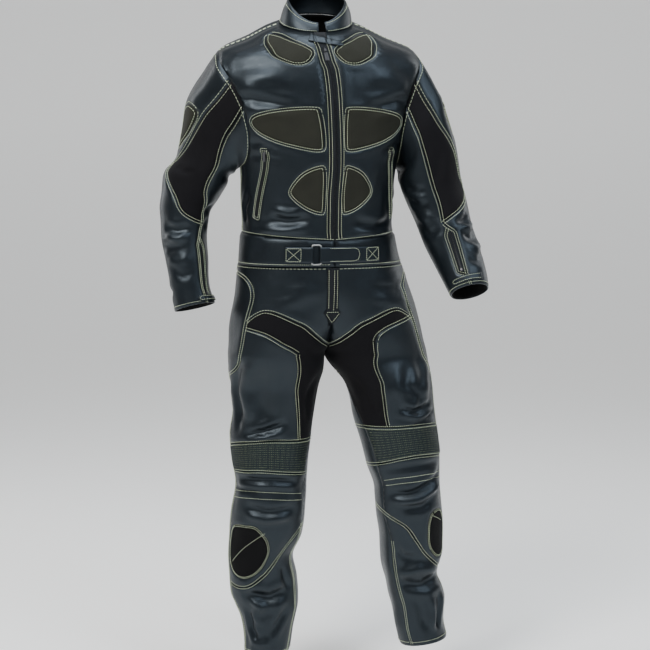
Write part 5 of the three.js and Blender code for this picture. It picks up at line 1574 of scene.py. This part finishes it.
class Finish:
    def __init__(self, name):
        self.material = bpy.data.materials.new(name)
        self.material.use_nodes = True
        self.tree = self.material.node_tree
        self.surface = self.tree.nodes["Principled BSDF"]

    # One node of a type, with its settings, then the values or links of its sockets.
    def node(self, kind, settings=None, output=0, **inputs):
        node = self.tree.nodes.new(kind)
        for key, value in (settings or {}).items():
            setattr(node, key, value)
        for key, value in inputs.items():
            self.put(node.inputs[int(key[1:]) if key[1:].isdigit() else key.replace("_", " ")], value)
        return Socket(self.tree, node.outputs[output])

    def put(self, socket, value):
        if isinstance(value, Socket):
            self.tree.links.new(value.socket, socket)
        else:
            socket.default_value = value

    def place(self):
        return self.node("ShaderNodeTexCoord", output=3)

    def noise(self, size, detail=3, rough=0.5):
        inputs = {"Scale": 1 / size, "Detail": detail, "Roughness": rough}
        return self.node("ShaderNodeTexNoise", Vector=self.place(), **inputs)

    def cells(self, size):
        return self.node("ShaderNodeTexVoronoi", Vector=self.place(), Scale=1 / size)

    def between(self, mask, first, second):
        settings = {"data_type": "RGBA"}
        return self.node("ShaderNodeMix", settings, output=2, i0=mask, i6=(*first, 1), i7=(*second, 1))

    def attribute(self, name):
        return self.node("ShaderNodeAttribute", {"attribute_name": name}, output=2)

    def bump(self, height, distance, strength=1.0):
        return self.node("ShaderNodeBump", Height=height, Distance=distance, Strength=strength)

    def done(self, **values):
        for key, value in values.items():
            self.put(self.surface.inputs[key.replace("_", " ")], value)
        return self.material


def leather(name, dark, light, gloss, grain=0.0013):
    finish = Finish(name)
    clouds = finish.noise(0.05, 4, 0.55)
    pores = finish.cells(grain)
    fine = finish.noise(0.006, 3, 0.6)
    edge = finish.attribute("seam_edge")
    # The leather's tone wanders at random as wear, and darkens towards the panels' cut edges as painted shade
    # in the seams' creases.
    wear_and_seam_shade = clouds * 0.8 + fine * 0.25 - edge * 0.2
    height = pores * 0.6 + finish.noise(0.016, 3, 0.6) * 1.1
    return finish.done(
        Base_Color=finish.between(wear_and_seam_shade, dark, light),
        Roughness=gloss + fine * 0.14 + clouds * 0.1,
        Normal=finish.bump(height, 0.00035, 0.75),
        Specular_IOR_Level=0.38,
        Specular_Tint=(0.74, 0.88, 1, 1),
    )


def woven(name, dark, light, pitch, sheen):
    finish = Finish(name)
    side = finish.node("ShaderNodeSeparateXYZ", Vector=finish.place())
    up = finish.node("ShaderNodeSeparateXYZ", output=2, Vector=finish.place())
    across = (side * (2 * math.pi / pitch)).maths("SINE", 0)
    along = (up * (2 * math.pi / pitch)).maths("SINE", 0)
    weave = across * along * 0.5 + 0.5
    clouds = finish.noise(0.04, 3)
    return finish.done(
        Base_Color=finish.between(weave * 0.65 + clouds * 0.4, dark, light),
        Roughness=0.86 - weave * 0.12,
        Normal=finish.bump(weave + finish.noise(0.0012, 2) * 0.5, 0.0003, 0.8),
        Sheen_Weight=sheen,
        Sheen_Roughness=0.45,
        Specular_IOR_Level=0.14,
    )


def thread(name, dark, light):
    finish = Finish(name)
    twist = finish.noise(0.0009, 2)
    return finish.done(
        Base_Color=finish.between(twist, dark, light),
        Roughness=0.62 + twist * 0.2,
        Normal=finish.bump(twist, 0.0002, 0.6),
    )


def metal(name, colour, rough):
    finish = Finish(name)
    brushed = finish.noise(0.0035, 4, 0.7)
    return finish.done(
        Base_Color=finish.between(brushed, tuple(c * 0.8 for c in colour), colour),
        Roughness=rough + brushed * 0.18,
        Metallic=1.0,
        Normal=finish.bump(brushed, 0.00006, 0.4),
    )


FINISHES = {
    "leather": leather("black_cowhide", (0.0016, 0.002, 0.0024), (0.0045, 0.0065, 0.0085), 0.25),
    "stretch": woven("black_stretch_cloth", (0.0012, 0.0011, 0.0016), (0.0035, 0.0031, 0.0045), 0.0019, 0.02),
    "mesh": woven("olive_woven_mesh", (0.007, 0.0073, 0.0055), (0.023, 0.0233, 0.0165), 0.0024, 0.02),
    "zip": woven("black_zip_tape", (0.004, 0.0045, 0.006), (0.013, 0.015, 0.018), 0.0011, 0.05),
    "metal": metal("satin_steel", (0.42, 0.42, 0.41), 0.24),
    "ribbed": leather("pleated_leather", (0.0025, 0.0038, 0.003), (0.007, 0.011, 0.0085), 0.34, 0.0009),
    "lining": woven("dark_lining", (0.004, 0.004, 0.004), (0.010, 0.010, 0.010), 0.0016, 0.05),
    "thread": thread("pale_contrast_thread", (0.40, 0.46, 0.31), (0.66, 0.71, 0.52)),
    "dull_thread": thread("pleat_thread", (0.2, 0.24, 0.12), (0.33, 0.38, 0.2)),
    "loop": woven("black_loop_patch", (0.0008, 0.0008, 0.001), (0.0022, 0.0022, 0.0026), 0.0015, 0.0),
    "teeth": metal("dark_zip_teeth", (0.045, 0.047, 0.05), 0.34),
    "dark_metal": metal("blackened_metal", (0.10, 0.10, 0.105), 0.3),
}


def dress(piece, finish, lining=None):
    mesh = piece.data
    mesh.materials.clear()
    mesh.materials.append(FINISHES[finish])
    if lining:
        mesh.materials.append(FINISHES[lining])
        for face in lining_faces[piece.name]:
            mesh.polygons[face].material_index = 1


def finish_of(name):
    if "pleats" in name:
        return "ribbed"
    if "patch" in name:
        return "loop"
    return slot_of(name)


for name, piece in panels.items():
    dress(piece, finish_of(name), "lining" if slot_of(name) == "leather" else None)
for piece in [collar, collar_tab, belt_keeper, belt_strap, *cuff_tabs]:
    dress(piece, "leather")
dress(fly, "zip")
dress(buckle, "metal")
for piece in threads:
    dress(piece, "dull_thread" if "pleat" in piece.name else "thread")
for piece in zip_teeth:
    dress(piece, "teeth")
for piece in sliders:
    dress(piece, "dark_metal")
for node in ("main_pull", "pocket_pull_right", "pocket_pull_left"):
    dress(bpy.data.objects[node], "dark_metal")


# The studio, in metres: a pale sweep, two softboxes in front, one above and two rim lights.
SWEEP = {"wall": 7, "front": -9, "high": 9, "bend": 1.4, "half": 16, "glow": 0.3}


def sweep():
    base = (HEM["right"] - FLOOR_DROP) * MM
    bend = SWEEP["bend"]
    profile = [(SWEEP["front"], base), (SWEEP["wall"] - bend, base)]
    for turn in np.linspace(0.1, math.pi / 2, 12):
        y = SWEEP["wall"] - bend * (1 - math.sin(turn))
        profile.append((y, base + bend * (1 - math.cos(turn))))
    profile.append((SWEEP["wall"], base + SWEEP["high"]))
    spots = [(x, y, z) for y, z in profile for x in (-SWEEP["half"], SWEEP["half"])]
    faces = [(2 * i, 2 * i + 1, 2 * i + 3, 2 * i + 2) for i in range(len(profile) - 1)]
    mesh = bpy.data.meshes.new("studio_sweep")
    mesh.from_pydata(spots, [], faces)
    mesh.polygons.foreach_set("use_smooth", [True] * len(mesh.polygons))
    floor = bpy.data.objects.new("studio_sweep", mesh)
    bpy.context.scene.collection.objects.link(floor)
    pale = (0.86, 0.86, 0.85, 1)
    looks = {"Base_Color": pale, "Roughness": 0.9}
    glow = {"Emission_Color": pale, "Emission_Strength": SWEEP["glow"]}
    mesh.materials.append(Finish("pale_sweep").done(**looks, **glow))


def soft_light(name, place, aim, size, power, colour=(1, 1, 1)):
    lamp = bpy.data.lights.new(name, "AREA")
    lamp.shape = "RECTANGLE"
    lamp.size, lamp.size_y = size
    lamp.energy = power
    lamp.color = colour
    light = bpy.data.objects.new(name, lamp)
    light.location = place
    light.rotation_euler = (Vector(aim) - Vector(place)).to_track_quat("-Z", "Y").to_euler()
    bpy.context.scene.collection.objects.link(light)


sweep()
soft_light("key_softbox", (-1.5, -2.3, 2.1), (0, 0, -0.35), (1.0, 1.7), 150, (1, 0.985, 0.96))
soft_light("sky_softbox", (1.9, -2.0, 1.5), (0, 0, -0.45), (0.9, 1.9), 52, (0.80, 0.90, 1))
soft_light("top_softbox", (0, -0.4, 2.6), (0, 0, -0.4), (2.0, 1.4), 85, (0.86, 0.93, 1))
soft_light("rim_left", (-2.2, 1.2, 0.4), (0, 0, -0.6), (0.6, 2.4), 22)
soft_light("rim_right", (2.2, 1.2, 0.4), (0, 0, -0.6), (0.6, 2.4), 22)
world = bpy.data.worlds.new("studio")
bpy.context.scene.world = world
world.use_nodes = True
background = world.node_tree.nodes["Background"]
background.inputs["Color"].default_value = (0.95, 0.97, 1, 1)
background.inputs["Strength"].default_value = 0.25
